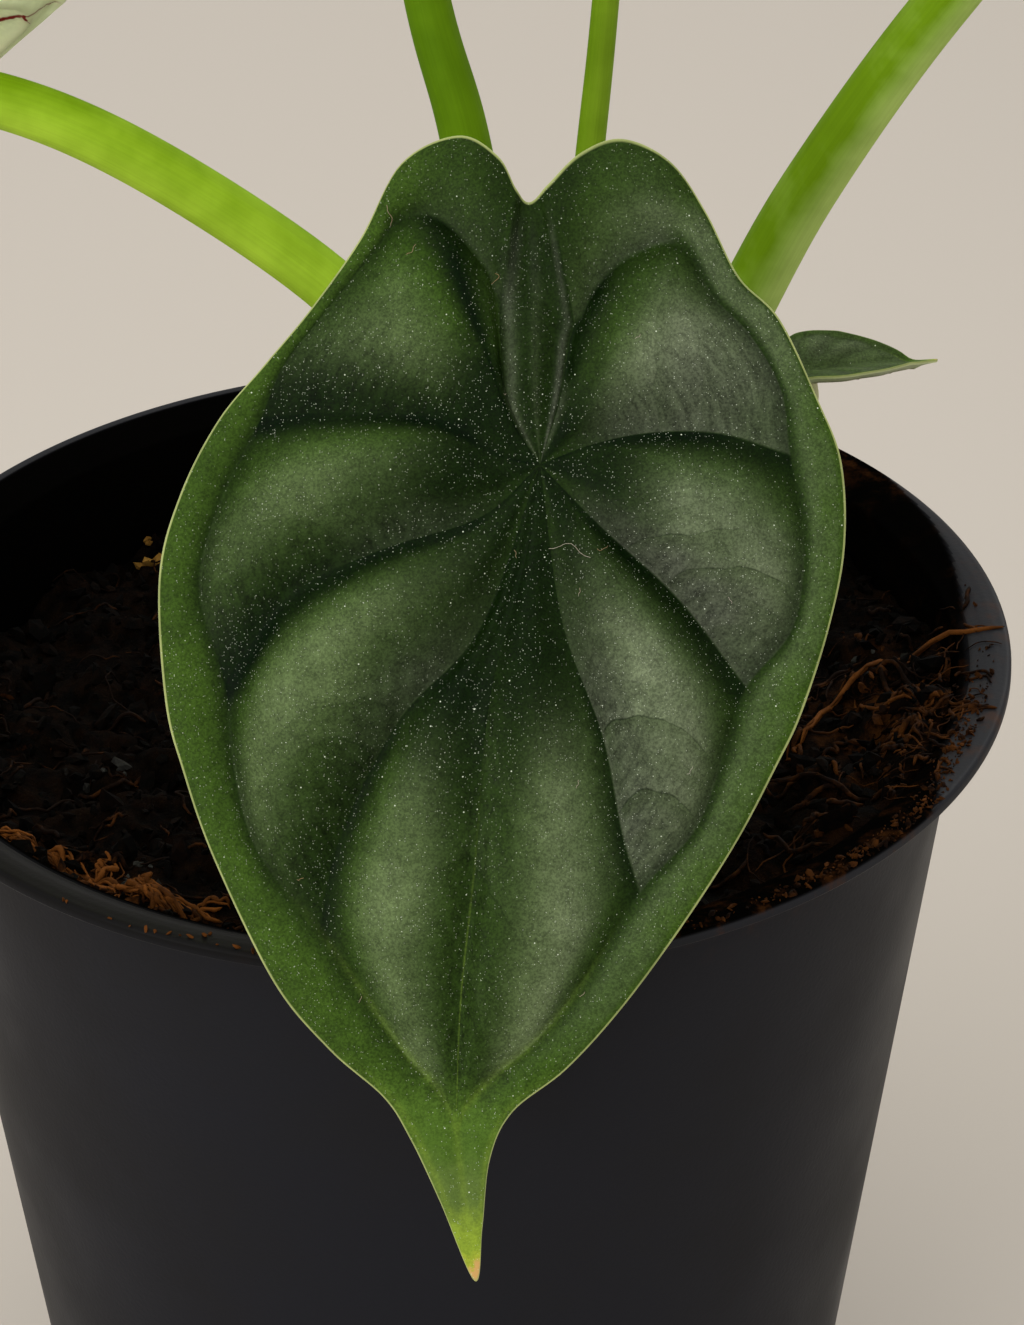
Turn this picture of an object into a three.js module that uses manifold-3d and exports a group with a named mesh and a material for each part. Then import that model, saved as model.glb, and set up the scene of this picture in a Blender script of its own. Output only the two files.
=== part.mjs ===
import * as THREE from 'three';
import { mergeVertices } from 'three/addons/utils/BufferGeometryUtils.js';
import Module from 'manifold-3d';

// A potted dragon scale alocasia: six leaves on arching petioles that rise from one short
// rhizome in a nursery pot of peat and coir. Sizes are millimetres and +Z is up. The origin
// is the middle of the pot's flat base, and the main leaf hangs over the rim towards -Y.

const wasm = await Module();
wasm.setup();

const gap = 0.3; // left between pieces that touch

const potSize = {
  height: 108,
  rimRadius: 60,
  wallTopRadius: 55.6,
  baseRadius: 39.2,
  wall: 1.1,
  floor: 1.6,
  flangeThickness: 1.4,
  edgeRounding: 0.5,
  sides: 44,
};
const drainage = { count: 8, ring: 27, radius: 3.5, sides: 12 };

const soilSize = {
  meanHeight: 99.5,
  riseToRight: 0.05,
  riseToFront: 0.05,
  lump: 1.1,
  rings: [0, 12, 21, 30, 39, 47, 52],
  clumps: 16,
  fibres: 18,
  seed: 7,
};

const rhizomeSize = { x: 12, y: 8, bottom: 84, top: 101.5, radius: 11.6, sides: 20 };
const crown = { ring: 6.4, footHeight: 97.5 };

// The flat shape of a dragon scale blade. Its petiole joins it at 0, 0, the two back lobes
// point to +y and the drip tip to -y. Each row is a station on the way round: the x and y
// of the edge, then the x and y of the collective vein that runs inside the edge.
const stations = [
  [-3.0, 24.9, -2.1, 16.2],
  [-4.4, 26.0, -5.2, 15.5],
  [-6.4, 29.0, -6.9, 18.5],
  [-10.4, 30.7, -11.4, 22.6],
  [-15.6, 27.7, -15.2, 22.5],
  [-18.9, 20.2, -17.5, 19.2],
  [-23.0, 13.3, -21.7, 13.1],
  [-27.1, 7.5, -25.4, 7.4],
  [-31.1, 1.8, -27.0, 2.4],
  [-34.2, -5.7, -30.2, -5.7],
  [-35.6, -13.9, -31.7, -14.5],
  [-34.1, -25.6, -28.5, -23.6],
  [-31.9, -32.3, -27.1, -31.2],
  [-28.3, -40.6, -24.2, -39.5],
  [-21.6, -52.1, -17.6, -46.8],
  [-15.8, -58.2, -13.5, -52.0],
  [-10.2, -62.6, -8.5, -58.1],
  [-7.3, -66.7, -5.2, -61.4],
  [-4.0, -72.8, -3.8, -63.7],
  [0.0, -80.8, -3.0, -65.5],
  [0.3, -75.1, -2.4, -63.6],
  [0.5, -68.0, -1.5, -62.1],
  [2.3, -63.0, 0.4, -59.6],
  [7.1, -58.3, 4.0, -55.8],
  [11.9, -51.9, 7.9, -50.0],
  [17.0, -43.5, 12.9, -40.2],
  [21.6, -34.9, 17.7, -33.7],
  [24.9, -27.1, 20.0, -25.4],
  [26.9, -21.7, 21.4, -19.6],
  [28.9, -13.1, 25.4, -13.7],
  [29.7, -5.3, 25.8, -5.1],
  [28.7, 2.7, 23.7, 3.1],
  [25.9, 8.6, 22.4, 9.1],
  [21.7, 15.8, 19.1, 14.0],
  [17.5, 19.5, 15.2, 17.5],
  [13.9, 25.4, 12.6, 21.4],
  [10.2, 29.8, 10.0, 22.0],
  [5.4, 31.6, 6.3, 19.9],
  [1.5, 29.9, 3.9, 16.9],
  [-1.4, 26.6, 2.2, 13.7],
];

// The main veins, in the order of their stations. Each runs from the petiole through its
// points to the collective vein. The panel that follows a vein has its crest near that
// vein on the left half (crestFirst), and near the next vein on the right half.
const mainVeins = [
  { station: 1, via: [[-3.6, 6.0], [-4.8, 11.7]], crestFirst: true },
  { station: 8, via: [[-3.9, 0.7], [-9.9, 3.5], [-18.6, 3.5]], crestFirst: true },
  { station: 11, via: [[-5.3, -5.5], [-14.7, -9.5], [-22.9, -14.6]], crestFirst: true },
  { station: 14, via: [[-4.5, -16.2], [-11.5, -25.7], [-16.3, -37.6]], crestFirst: true },
  {
    station: 19,
    via: [[-0.7, -9.2], [-3.0, -22.9], [-3.2, -39.5], [-3.5, -52.4]],
    crestFirst: false,
  },
  { station: 25, via: [[3.3, -14.7], [8.1, -25.4], [10.7, -34.4]], crestFirst: false },
  { station: 28, via: [[6.2, -5.3], [14.4, -11.8]], crestFirst: false },
  { station: 31, via: [[4.6, 2.3], [10.3, 4.0], [17.0, 4.5]], crestFirst: false },
  { station: 39, via: [[1.4, 6.4], [1.8, 11.7]], crestFirst: false },
];

const relief = {
  quilt: 0.2, // height of a panel's crest, as a share of the panel's width
  crestSkew: 0.8,
  crestPower: 2.2,
  fallPower: 4,
  band: 0.22, // height of the marginal band, as a share of its width
  bandTurn: 2.4,
  widestBand: 9,
  tipStart: -60,
  tipEnd: -68,
  tipShare: 0.25,
};
const bladeThickness = 0.8;
const ribDepth = 0.8;

// Each leaf: where the petiole joins the blade, the directions of the back lobes and of
// the upper face, the blade's scale, its bends in radians per millimetre, the angle of the
// petiole's foot round the crown, and the points between the petiole's two ends.
const leaves = [
  {
    name: 'main_leaf',
    joint: [11.1, -43.1, 154.5],
    lobes: [0.0908, 0.5189, 0.85],
    face: [0, -0.8535, 0.5211],
    scale: 1,
    tipBend: 0.004,
    lobeBend: 0.003,
    cup: 0.0025,
    fold: 0,
    raysPerStation: 2,
    rings: 6,
    bandRings: 2,
    foot: -90,
    petioleRadii: [3.1, 2.2],
    petiole: [[12, 0.8, 115], [11.8, -7, 135], [11.4, -22, 148]],
    colour: 0x2f4a2a,
    petioleColour: 0x6f9a2c,
  },
  {
    name: 'left_leaf',
    joint: [-68, 15, 171.5],
    lobes: [0.95, -0.1, 0.3],
    face: [-0.15, 0.8, 0.58],
    scale: 1.08,
    tipBend: 0.009,
    lobeBend: -0.01,
    cup: 0.002,
    fold: 0.1,
    raysPerStation: 1,
    rings: 5,
    bandRings: 1,
    foot: 190,
    petioleRadii: [3.1, 2.7],
    petiole: [
      [3, 9.5, 117], [-2, 9, 134], [-10, 9, 146],
      [-28, 10.5, 159.3], [-43, 11.5, 166.3], [-57, 10, 169],
    ],
    colour: 0x34502d,
    petioleColour: 0x8fb43a,
  },
  {
    name: 'back_leaf',
    joint: [-15, 56, 233],
    lobes: [0.2, -0.55, 0.81],
    face: [-0.25, 0.75, 0.6],
    scale: 1.06,
    mirror: true,
    tipBend: 0.007,
    lobeBend: 0.003,
    cup: 0.0025,
    fold: 0,
    raysPerStation: 1,
    rings: 5,
    bandRings: 1,
    foot: 115,
    petioleRadii: [2.9, 2.0],
    petiole: [[8.5, 15, 125], [4.2, 17, 157], [0.2, 21, 173], [-5, 30.5, 202]],
    colour: 0x2c4627,
    petioleColour: 0x5f8a1c,
  },
  {
    name: 'right_leaf',
    joint: [88, -5, 216],
    lobes: [-0.45, 0.05, 0.88],
    face: [0.86, -0.2, 0.46],
    scale: 1.08,
    mirror: true,
    tipBend: 0.007,
    lobeBend: 0.004,
    cup: 0.0025,
    fold: 0,
    raysPerStation: 1,
    rings: 5,
    bandRings: 1,
    foot: 0,
    petioleRadii: [3.3, 2.6],
    petiole: [[22.5, 7.5, 120], [33.1, 6, 146.5], [40.6, 4, 162.4], [52, 2, 181.2], [66.5, -1.5, 201]],
    colour: 0x2f4a2a,
    petioleColour: 0x7ba436,
  },
  {
    name: 'young_leaf',
    joint: [25, -4, 243],
    lobes: [-0.55, 0.6, 0.55],
    face: [0.35, -0.5, 0.79],
    scale: 0.66,
    tipBend: 0.01,
    lobeBend: 0.004,
    cup: -0.001,
    fold: 0.25,
    raysPerStation: 1,
    rings: 4,
    bandRings: 1,
    foot: null,
    petioleRadii: [1.6, 1.2],
    petiole: [[13.5, 9, 130], [16.7, 10, 160.7], [18.3, 9, 178], [21, 5, 215]],
    colour: 0x4d7a33,
    petioleColour: 0x7a9c30,
  },
  {
    name: 'small_leaf',
    joint: [39.8, 20, 129.3],
    lobes: [-0.97, -0.2, 0],
    face: [0.02, -0.05, 0.98],
    scale: 0.17,
    tipBend: 0.001,
    lobeBend: 0.02,
    cup: 0.003,
    fold: 0.5,
    raysPerStation: 1,
    rings: 3,
    bandRings: 1,
    foot: 52,
    petioleRadii: [1.3, 0.75],
    petiole: [[20.5, 15.5, 109], [28, 17.5, 119], [36, 19.5, 125.5]],
    colour: 0x56703f,
    petioleColour: 0xc9cf9a,
  },
];

function vector(xyz) {
  return new THREE.Vector3(xyz[0], xyz[1], xyz[2] ?? 0);
}

function seededRandom(seed) {
  let state = seed;
  return () => {
    state = (state * 16807) % 2147483647;
    return state / 2147483647;
  };
}

function smoothStep(from, to, value) {
  return THREE.MathUtils.smoothstep((value - from) / (to - from), 0, 1);
}

function geometryFrom(points, triangles) {
  const geometry = new THREE.BufferGeometry();
  geometry.setAttribute('position', new THREE.Float32BufferAttribute(points, 3));
  geometry.setIndex(triangles);
  return geometry;
}

function solidFrom(geometry) {
  const bare = geometry.clone();
  bare.deleteAttribute('normal');
  bare.deleteAttribute('uv');
  const merged = mergeVertices(bare, 1e-4);
  const mesh = new wasm.Mesh({
    numProp: 3,
    vertProperties: new Float32Array(merged.attributes.position.array),
    triVerts: new Uint32Array(merged.index.array),
  });
  return new wasm.Manifold(mesh);
}

function geometryOf(solid) {
  const mesh = solid.getMesh();
  return geometryFrom(Array.from(mesh.vertProperties), Array.from(mesh.triVerts));
}

function turned(profile, sides) {
  const points = profile.map(([radius, height]) => new THREE.Vector2(radius, height));
  return new THREE.LatheGeometry(points, sides).rotateX(Math.PI / 2);
}

// The wall's radius at a height, by the pot's straight taper.
function wallRadius(height) {
  const share = height / potSize.height;
  return potSize.baseRadius + (potSize.wallTopRadius - potSize.baseRadius) * share;
}

// The pot is one turned shell with a flat flange that stands out round its mouth, and a
// ring of drainage holes through its floor.
function potGeometry() {
  const { height, rimRadius, wall, floor, flangeThickness, edgeRounding, sides } = potSize;
  const flangeBottom = height - flangeThickness;
  const inside = (z) => wallRadius(z) - wall;
  const shell = turned([
    [0, 0],
    [wallRadius(0) - 2, 0],
    [wallRadius(2), 2],
    [wallRadius(flangeBottom), flangeBottom],
    [rimRadius - edgeRounding, flangeBottom],
    [rimRadius, flangeBottom + edgeRounding],
    [rimRadius - edgeRounding, height],
    [inside(height) + 2 * edgeRounding, height],
    [inside(height), height - edgeRounding],
    [inside(floor), floor],
    [0, floor],
  ], sides);
  let solid = solidFrom(shell);
  for (let hole = 0; hole < drainage.count; hole += 1) {
    const angle = (2 * Math.PI * (hole + 0.5)) / drainage.count;
    const drill = new THREE.CylinderGeometry(drainage.radius, drainage.radius, 3 * floor, drainage.sides);
    drill.rotateX(Math.PI / 2);
    drill.translate(drainage.ring * Math.cos(angle), drainage.ring * Math.sin(angle), 0);
    solid = solid.subtract(solidFrom(drill));
  }
  return geometryOf(solid);
}

// Height of the soil's surface: a plane that leans up to the right and to the front, with
// two waves of lumps.
function soilHeight(x, y) {
  const plane = soilSize.meanHeight + soilSize.riseToRight * x - soilSize.riseToFront * y;
  const broad = Math.sin(0.11 * x + 1.3) * Math.cos(0.13 * y - 0.4);
  const fine = Math.sin(0.31 * x - 0.27 * y) * Math.cos(0.24 * x + 0.35 * y + 1.1);
  return plane + soilSize.lump * (broad + 0.7 * fine);
}

function soilBody() {
  const { rings } = soilSize;
  const { sides, floor, wall } = potSize;
  const points = [0, 0, soilHeight(0, 0)];
  const outside = (z) => wallRadius(z) - wall - gap;
  const bottom = floor + gap;
  const addRing = (place) => {
    for (let side = 0; side < sides; side += 1) {
      const angle = (2 * Math.PI * side) / sides;
      points.push(...place(Math.sin(angle), -Math.cos(angle)));
    }
  };
  rings.slice(1, -1).forEach((radius) => {
    addRing((x, y) => [radius * x, radius * y, soilHeight(radius * x, radius * y)]);
  });
  const rim = rings[rings.length - 1];
  addRing((x, y) => {
    const height = soilHeight(rim * x, rim * y);
    return [outside(height) * x, outside(height) * y, height];
  });
  addRing((x, y) => [outside(bottom) * x, outside(bottom) * y, bottom]);
  const lastRing = rings.length - 1;
  const centre = points.length / 3;
  points.push(0, 0, bottom);
  const triangles = [];
  const at = (ring, side) => 1 + ring * sides + (side % sides);
  for (let side = 0; side < sides; side += 1) {
    triangles.push(0, at(0, side), at(0, side + 1));
    for (let ring = 0; ring < lastRing; ring += 1) {
      triangles.push(at(ring, side), at(ring + 1, side), at(ring + 1, side + 1));
      triangles.push(at(ring, side), at(ring + 1, side + 1), at(ring, side + 1));
    }
    triangles.push(centre, at(lastRing, side + 1), at(lastRing, side));
  }
  return geometryFrom(points, triangles);
}

// Half-sunk clumps of peat and short strands of coir lie on the soil, clear of the crown.
function soilGeometry(rhizomeHole) {
  const random = seededRandom(soilSize.seed);
  const clearOfCrown = 19;
  const reach = 49;
  let solid = solidFrom(soilBody());
  const place = () => {
    for (;;) {
      const angle = 2 * Math.PI * random();
      const radius = reach * Math.sqrt(random());
      const x = radius * Math.cos(angle);
      const y = radius * Math.sin(angle);
      if (Math.hypot(x - rhizomeSize.x, y - rhizomeSize.y) > clearOfCrown) {
        return [x, y];
      }
    }
  };
  for (let clump = 0; clump < soilSize.clumps; clump += 1) {
    const [x, y] = place();
    const size = 2 + 2 * random();
    const shape = new THREE.IcosahedronGeometry(size, 0);
    shape.scale(1, 0.7 + 0.5 * random(), 0.55);
    shape.rotateZ(Math.PI * random());
    shape.translate(x, y, soilHeight(x, y) - 0.1 * size);
    solid = solid.add(solidFrom(shape));
  }
  for (let fibre = 0; fibre < soilSize.fibres; fibre += 1) {
    const [x, y] = place();
    const heading = Math.PI * random();
    const length = 8 + 8 * random();
    const bow = 3 * (random() - 0.5);
    const line = [-1, -0.4, 0.3, 1].map((share) => {
      const along = 0.5 * length * share;
      const aside = bow * (1 - share * share);
      const px = (x + along * Math.cos(heading) - aside * Math.sin(heading)) * 0.97;
      const py = (y + along * Math.sin(heading) + aside * Math.cos(heading)) * 0.97;
      const sunk = Math.abs(share) === 1 ? -0.6 : 0.2;
      return new THREE.Vector3(px, py, soilHeight(px, py) + sunk);
    });
    solid = solid.add(solidFrom(tubeGeometry(line, line.map(() => 0.7), 3)));
  }
  return geometryOf(solid.subtract(rhizomeHole));
}

// A closed tube through the given centre points, with a radius at each. Its rings keep
// their turn from one to the next. With an end plane, the last ring slides along the tube
// to that plane, so that the cut lies flat against it.
function tubeGeometry(centres, radii, sides, endPlane) {
  const points = [];
  const last = centres.length - 1;
  let across = null;
  centres.forEach((centre, index) => {
    const before = centres[Math.max(index - 1, 0)];
    const after = centres[Math.min(index + 1, last)];
    const tangent = after.clone().sub(before).normalize();
    if (across === null) {
      across = Math.abs(tangent.x) < 0.8 ? new THREE.Vector3(1, 0, 0) : new THREE.Vector3(0, 1, 0);
    }
    across = across.clone().addScaledVector(tangent, -across.dot(tangent)).normalize();
    const beside = tangent.clone().cross(across);
    for (let side = 0; side < sides; side += 1) {
      const angle = (2 * Math.PI * side) / sides;
      const point = centre.clone();
      point.addScaledVector(across, radii[index] * Math.cos(angle));
      point.addScaledVector(beside, radii[index] * Math.sin(angle));
      if (endPlane && index === last) {
        const distance = endPlane.distanceToPoint(point) / tangent.dot(endPlane.normal);
        point.addScaledVector(tangent, -distance);
      }
      points.push(point.x, point.y, point.z);
    }
  });
  const first = points.length / 3;
  points.push(centres[0].x, centres[0].y, centres[0].z);
  const end = endPlane ? endPlane.projectPoint(centres[last], new THREE.Vector3()) : centres[last];
  points.push(end.x, end.y, end.z);
  const triangles = [];
  for (let side = 0; side < sides; side += 1) {
    const next = (side + 1) % sides;
    for (let ring = 0; ring < last; ring += 1) {
      const low = ring * sides;
      const high = low + sides;
      triangles.push(low + side, low + next, high + next);
      triangles.push(low + side, high + next, high + side);
    }
    triangles.push(first, next, side);
    triangles.push(first + 1, last * sides + side, last * sides + next);
  }
  return geometryFrom(points, triangles);
}

// The blade's axes in the plant: x across, y to the lobes, z out of the upper face.
function bladeAxes(leaf) {
  const lobes = vector(leaf.lobes).normalize();
  const face = vector(leaf.face);
  face.addScaledVector(lobes, -face.dot(lobes)).normalize();
  return { across: lobes.clone().cross(face), lobes, face };
}

function closedCurve(column) {
  const points = stations.map((row) => new THREE.Vector3(row[column], row[column + 1], 0));
  return new THREE.CatmullRomCurve3(points, true, 'catmullrom', 0.5);
}

const edgeCurve = closedCurve(0);
const collectiveCurve = closedCurve(2);
const veinCurves = mainVeins.map(({ station, via }) => {
  const end = stations[station];
  const points = [[0, 0], ...via, [end[2], end[3]]].map(vector);
  return new THREE.CatmullRomCurve3(points, false, 'catmullrom', 0.5);
});

// The panel that holds a place on the way round: its two veins and the share of the way
// from the first to the second.
function panelAt(place) {
  const count = mainVeins.length;
  for (let index = 0; index < count; index += 1) {
    const start = mainVeins[index].station;
    const next = (index + 1) % count;
    const width = (mainVeins[next].station - start + stations.length) % stations.length;
    const along = (place - start + stations.length) % stations.length;
    if (along < width) {
      return { first: index, second: next, across: along / width };
    }
  }
  return null;
}

// Height of a panel's quilting: nothing on its veins, highest on a crest that lies nearer
// to the vein towards the lobes, and falling away again to the collective vein.
function quiltHeight(across, along, width, crestFirst) {
  const fromLobes = crestFirst ? across : 1 - across;
  const skewed = Math.pow(fromLobes, relief.crestSkew);
  const crest = 1 - Math.pow(Math.abs(2 * skewed - 1), relief.crestPower);
  return relief.quilt * width * crest * (1 - Math.pow(along, relief.fallPower));
}

// Height of the marginal band: it rises out of the collective vein's groove to a rounded
// crest and dips a little to the edge. It flattens towards the drip tip.
function bandHeight(share, width, edgeY) {
  const tip = smoothStep(relief.tipStart, relief.tipEnd, edgeY);
  const size = relief.band * Math.min(width, relief.widestBand) * (1 - (1 - relief.tipShare) * tip);
  return size * Math.sin(relief.bandTurn * share);
}

// One ray of the flat blade: from the petiole, between the panel's two veins, to the
// collective vein, then straight over the band to the edge. Each point also gets the
// height of its relief and whether it lies on a vein.
function bladeRay(place, leaf) {
  const { first, second, across } = panelAt(place);
  const collective = collectiveCurve.getPoint(place / stations.length);
  const edge = edgeCurve.getPoint(place / stations.length);
  const ends = [first, second].map((index) => veinCurves[index].getPoint(1));
  const ray = [];
  for (let ring = 1; ring <= leaf.rings; ring += 1) {
    const along = ring / leaf.rings;
    const start = veinCurves[first].getPoint(along);
    const finish = veinCurves[second].getPoint(along);
    const point = start.clone().lerp(finish, across);
    const pull = collective.clone().sub(ends[0].clone().lerp(ends[1], across));
    point.addScaledVector(pull, along);
    const height = quiltHeight(across, along, start.distanceTo(finish), mainVeins[first].crestFirst);
    const rib = across === 0 ? 1 - 0.6 * along : 0;
    ray.push({ x: point.x, y: point.y, height, rib: Math.max(rib, ring === leaf.rings ? 0.3 : 0) });
  }
  const width = collective.distanceTo(edge);
  for (let ring = 1; ring <= leaf.bandRings; ring += 1) {
    const share = ring / leaf.bandRings;
    const point = collective.clone().lerp(edge, share);
    ray.push({ x: point.x, y: point.y, height: bandHeight(share, width, edge.y), rib: 0 });
  }
  return ray;
}

// Bends the flat blade: lengthwise on an arc for the tip and one for the lobes, then with
// a crosswise cup and a fold along the midrib. Gives the place and the way down from it.
function bend(leaf, x, y, height) {
  const curvature = y < 0 ? leaf.tipBend : leaf.lobeBend;
  const turn = curvature * y;
  const side = leaf.mirror ? -x : x;
  const rise = height - leaf.cup * x * x + (Math.hypot(x, 1) - 1) * Math.sin(leaf.fold);
  const normal = new THREE.Vector3(0, Math.sin(turn), Math.cos(turn));
  const spine = new THREE.Vector3(
    side * Math.cos(leaf.fold),
    Math.sin(turn) / curvature,
    (Math.cos(turn) - 1) / curvature,
  );
  spine.addScaledVector(normal, rise).multiplyScalar(leaf.scale);
  return { point: spine, normal };
}

// A blade is a fan of rays round the petiole. The underside repeats the upper face's
// triangles one thickness lower, and deeper along the veins, which stand out as ribs.
function bladeGeometry(leaf) {
  const rayCount = stations.length * leaf.raysPerStation;
  const ringCount = leaf.rings + leaf.bandRings;
  const upper = [];
  const under = [];
  const add = (x, y, height, rib) => {
    const { point, normal } = bend(leaf, x, y, height);
    const depth = bladeThickness + ribDepth * rib * Math.sqrt(leaf.scale);
    upper.push(point);
    under.push(point.clone().addScaledVector(normal, -depth));
  };
  add(0, 0, 0, 1);
  for (let ray = 0; ray < rayCount; ray += 1) {
    bladeRay(ray / leaf.raysPerStation, leaf).forEach(({ x, y, height, rib }) => add(x, y, height, rib));
  }
  const { across, lobes, face } = bladeAxes(leaf);
  const matrix = new THREE.Matrix4().makeBasis(across, lobes, face).setPosition(vector(leaf.joint));
  const points = [...upper, ...under].flatMap((point) => point.applyMatrix4(matrix).toArray());
  const low = upper.length;
  const triangles = [];
  const addBoth = (a, b, c) => {
    const [p, q] = leaf.mirror ? [c, b] : [b, c];
    triangles.push(a, p, q, low + a, low + q, low + p);
  };
  const at = (ray, ring) => 1 + (ray % rayCount) * ringCount + ring;
  for (let ray = 0; ray < rayCount; ray += 1) {
    addBoth(0, at(ray, 0), at(ray + 1, 0));
    for (let ring = 0; ring < ringCount - 1; ring += 1) {
      addBoth(at(ray, ring), at(ray, ring + 1), at(ray + 1, ring + 1));
      addBoth(at(ray, ring), at(ray + 1, ring + 1), at(ray + 1, ring));
    }
    const edges = [at(ray, ringCount - 1), at(ray + 1, ringCount - 1)];
    const [start, end] = leaf.mirror ? edges.reverse() : edges;
    triangles.push(start, low + start, low + end, start, low + end, end);
  }
  return geometryFrom(points, triangles);
}

// The older petioles stand in a ring on the rhizome, and the youngest in the middle.
function footOf(leaf) {
  const ring = leaf.foot === null ? 0 : crown.ring;
  const angle = THREE.MathUtils.degToRad(leaf.foot ?? 0);
  const x = rhizomeSize.x + ring * Math.cos(angle);
  const y = rhizomeSize.y + ring * Math.sin(angle);
  return new THREE.Vector3(x, y, crown.footHeight);
}

// The petiole runs from its foot in the rhizome to the blade, which it meets from below.
// Its foot swells into a sheath. A margin widens and lengthens it, for its socket.
function petioleGeometry(leaf, margin = 0) {
  const { face } = bladeAxes(leaf);
  const joint = vector(leaf.joint);
  const depth = bladeThickness + ribDepth * Math.sqrt(leaf.scale) + gap;
  const end = joint.clone().addScaledVector(face, -depth);
  const foot = footOf(leaf);
  foot.z -= margin;
  const route = [foot, ...leaf.petiole.map(vector), end];
  const curve = new THREE.CatmullRomCurve3(route, false, 'catmullrom', 0.5);
  const steps = 3 * (leaf.petiole.length + 1);
  const centres = [];
  const radii = [];
  for (let step = 0; step <= steps; step += 1) {
    const share = step / steps;
    const sheath = 0.12 * Math.exp(-6 * share);
    const radius = THREE.MathUtils.lerp(leaf.petioleRadii[0], leaf.petioleRadii[1], share);
    centres.push(curve.getPoint(share));
    radii.push(radius * (1 + sheath) + margin);
  }
  const plane = new THREE.Plane().setFromNormalAndCoplanarPoint(face, end);
  return tubeGeometry(centres, radii, 10, plane);
}

function rhizomeProfile(margin) {
  const { bottom, top, radius } = rhizomeSize;
  const rise = top - bottom;
  return [
    [0, bottom - margin],
    [0.55 * radius, bottom - margin],
    [radius - 1 + margin, bottom + 0.35 * rise],
    [radius + margin, bottom + 0.75 * rise],
    [0.93 * radius + margin, top],
    [0, top + margin],
  ];
}

function rhizomeSolid(margin) {
  const shape = turned(rhizomeProfile(margin), rhizomeSize.sides);
  shape.translate(rhizomeSize.x, rhizomeSize.y, 0);
  return solidFrom(shape);
}

// The rhizome's socket in the soil is open to the air above it.
function rhizomeHole() {
  const { radius, top, bottom, sides } = rhizomeSize;
  const rise = 12;
  const mouth = new THREE.CylinderGeometry(radius + gap, radius + gap, rise, sides);
  mouth.rotateX(Math.PI / 2);
  mouth.translate(rhizomeSize.x, rhizomeSize.y, bottom + 0.75 * (top - bottom) + rise / 2);
  return rhizomeSolid(gap).add(solidFrom(mouth));
}

const group = new THREE.Group();

function addPiece(name, geometry, color, roughness) {
  const material = new THREE.MeshStandardMaterial({ color, roughness, metalness: 0 });
  const mesh = new THREE.Mesh(geometry, material);
  mesh.name = name;
  group.add(mesh);
}

let rhizome = rhizomeSolid(0);
leaves.forEach((leaf) => {
  rhizome = rhizome.subtract(solidFrom(petioleGeometry(leaf, gap)));
});

addPiece('pot', potGeometry(), 0x28282b, 0.5);
addPiece('soil', soilGeometry(rhizomeHole()), 0x1c120c, 0.95);
addPiece('rhizome', geometryOf(rhizome), 0x5a4630, 0.85);
leaves.forEach((leaf) => {
  addPiece(`${leaf.name}_petiole`, petioleGeometry(leaf), leaf.petioleColour, 0.5);
  addPiece(`${leaf.name}_blade`, bladeGeometry(leaf), leaf.colour, 0.45);
});

export default group;
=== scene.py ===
import math
import bpy
import numpy as np
from mathutils import Matrix


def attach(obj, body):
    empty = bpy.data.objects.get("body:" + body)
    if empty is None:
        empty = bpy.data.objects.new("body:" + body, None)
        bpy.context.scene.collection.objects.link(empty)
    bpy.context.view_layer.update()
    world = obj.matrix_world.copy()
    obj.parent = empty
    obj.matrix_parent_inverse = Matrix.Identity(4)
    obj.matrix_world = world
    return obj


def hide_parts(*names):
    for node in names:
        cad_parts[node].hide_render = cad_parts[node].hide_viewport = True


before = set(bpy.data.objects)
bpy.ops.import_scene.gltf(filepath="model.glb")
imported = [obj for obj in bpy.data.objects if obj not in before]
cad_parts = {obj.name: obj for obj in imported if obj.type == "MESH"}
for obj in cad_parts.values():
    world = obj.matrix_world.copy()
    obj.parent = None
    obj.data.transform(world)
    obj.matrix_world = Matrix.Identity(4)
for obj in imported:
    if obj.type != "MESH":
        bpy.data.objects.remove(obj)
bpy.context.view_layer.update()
mm = 0.001  # shapes are worked out in millimetres and become metres in the mesh
print("frame loaded:", len(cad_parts), "nodes")


# Rises from 0 at low to 1 at high by the smooth step. High may be the smaller of the two.
def smooth(low, high, value):
    share = np.clip((value - low) / (high - low), 0.0, 1.0)
    return share * share * (3 - 2 * share)


# Rises by the smooth step between the first two limits and falls between the last two.
def window(value, rise, full, still, gone):
    return smooth(rise, full, value) * smooth(gone, still, value)


# A bell: e to the power of less than the squared distance from its centre, in widths.
def bell(value, centre, width):
    return np.exp(-(((value - centre) / width) ** 2))


def unit(vectors):
    vectors = np.asarray(vectors, float)
    return vectors / np.linalg.norm(vectors, axis=-1, keepdims=True)


def anglesRound(sides):
    return 2 * math.pi * np.arange(sides) / sides


# Points of a circle of radius 1: the cosine and the sine of each angle round it, and 0.
def circlePoints(sides):
    angles = anglesRound(sides)
    return np.stack([np.cos(angles), np.sin(angles), np.zeros(sides)], -1)


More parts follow.
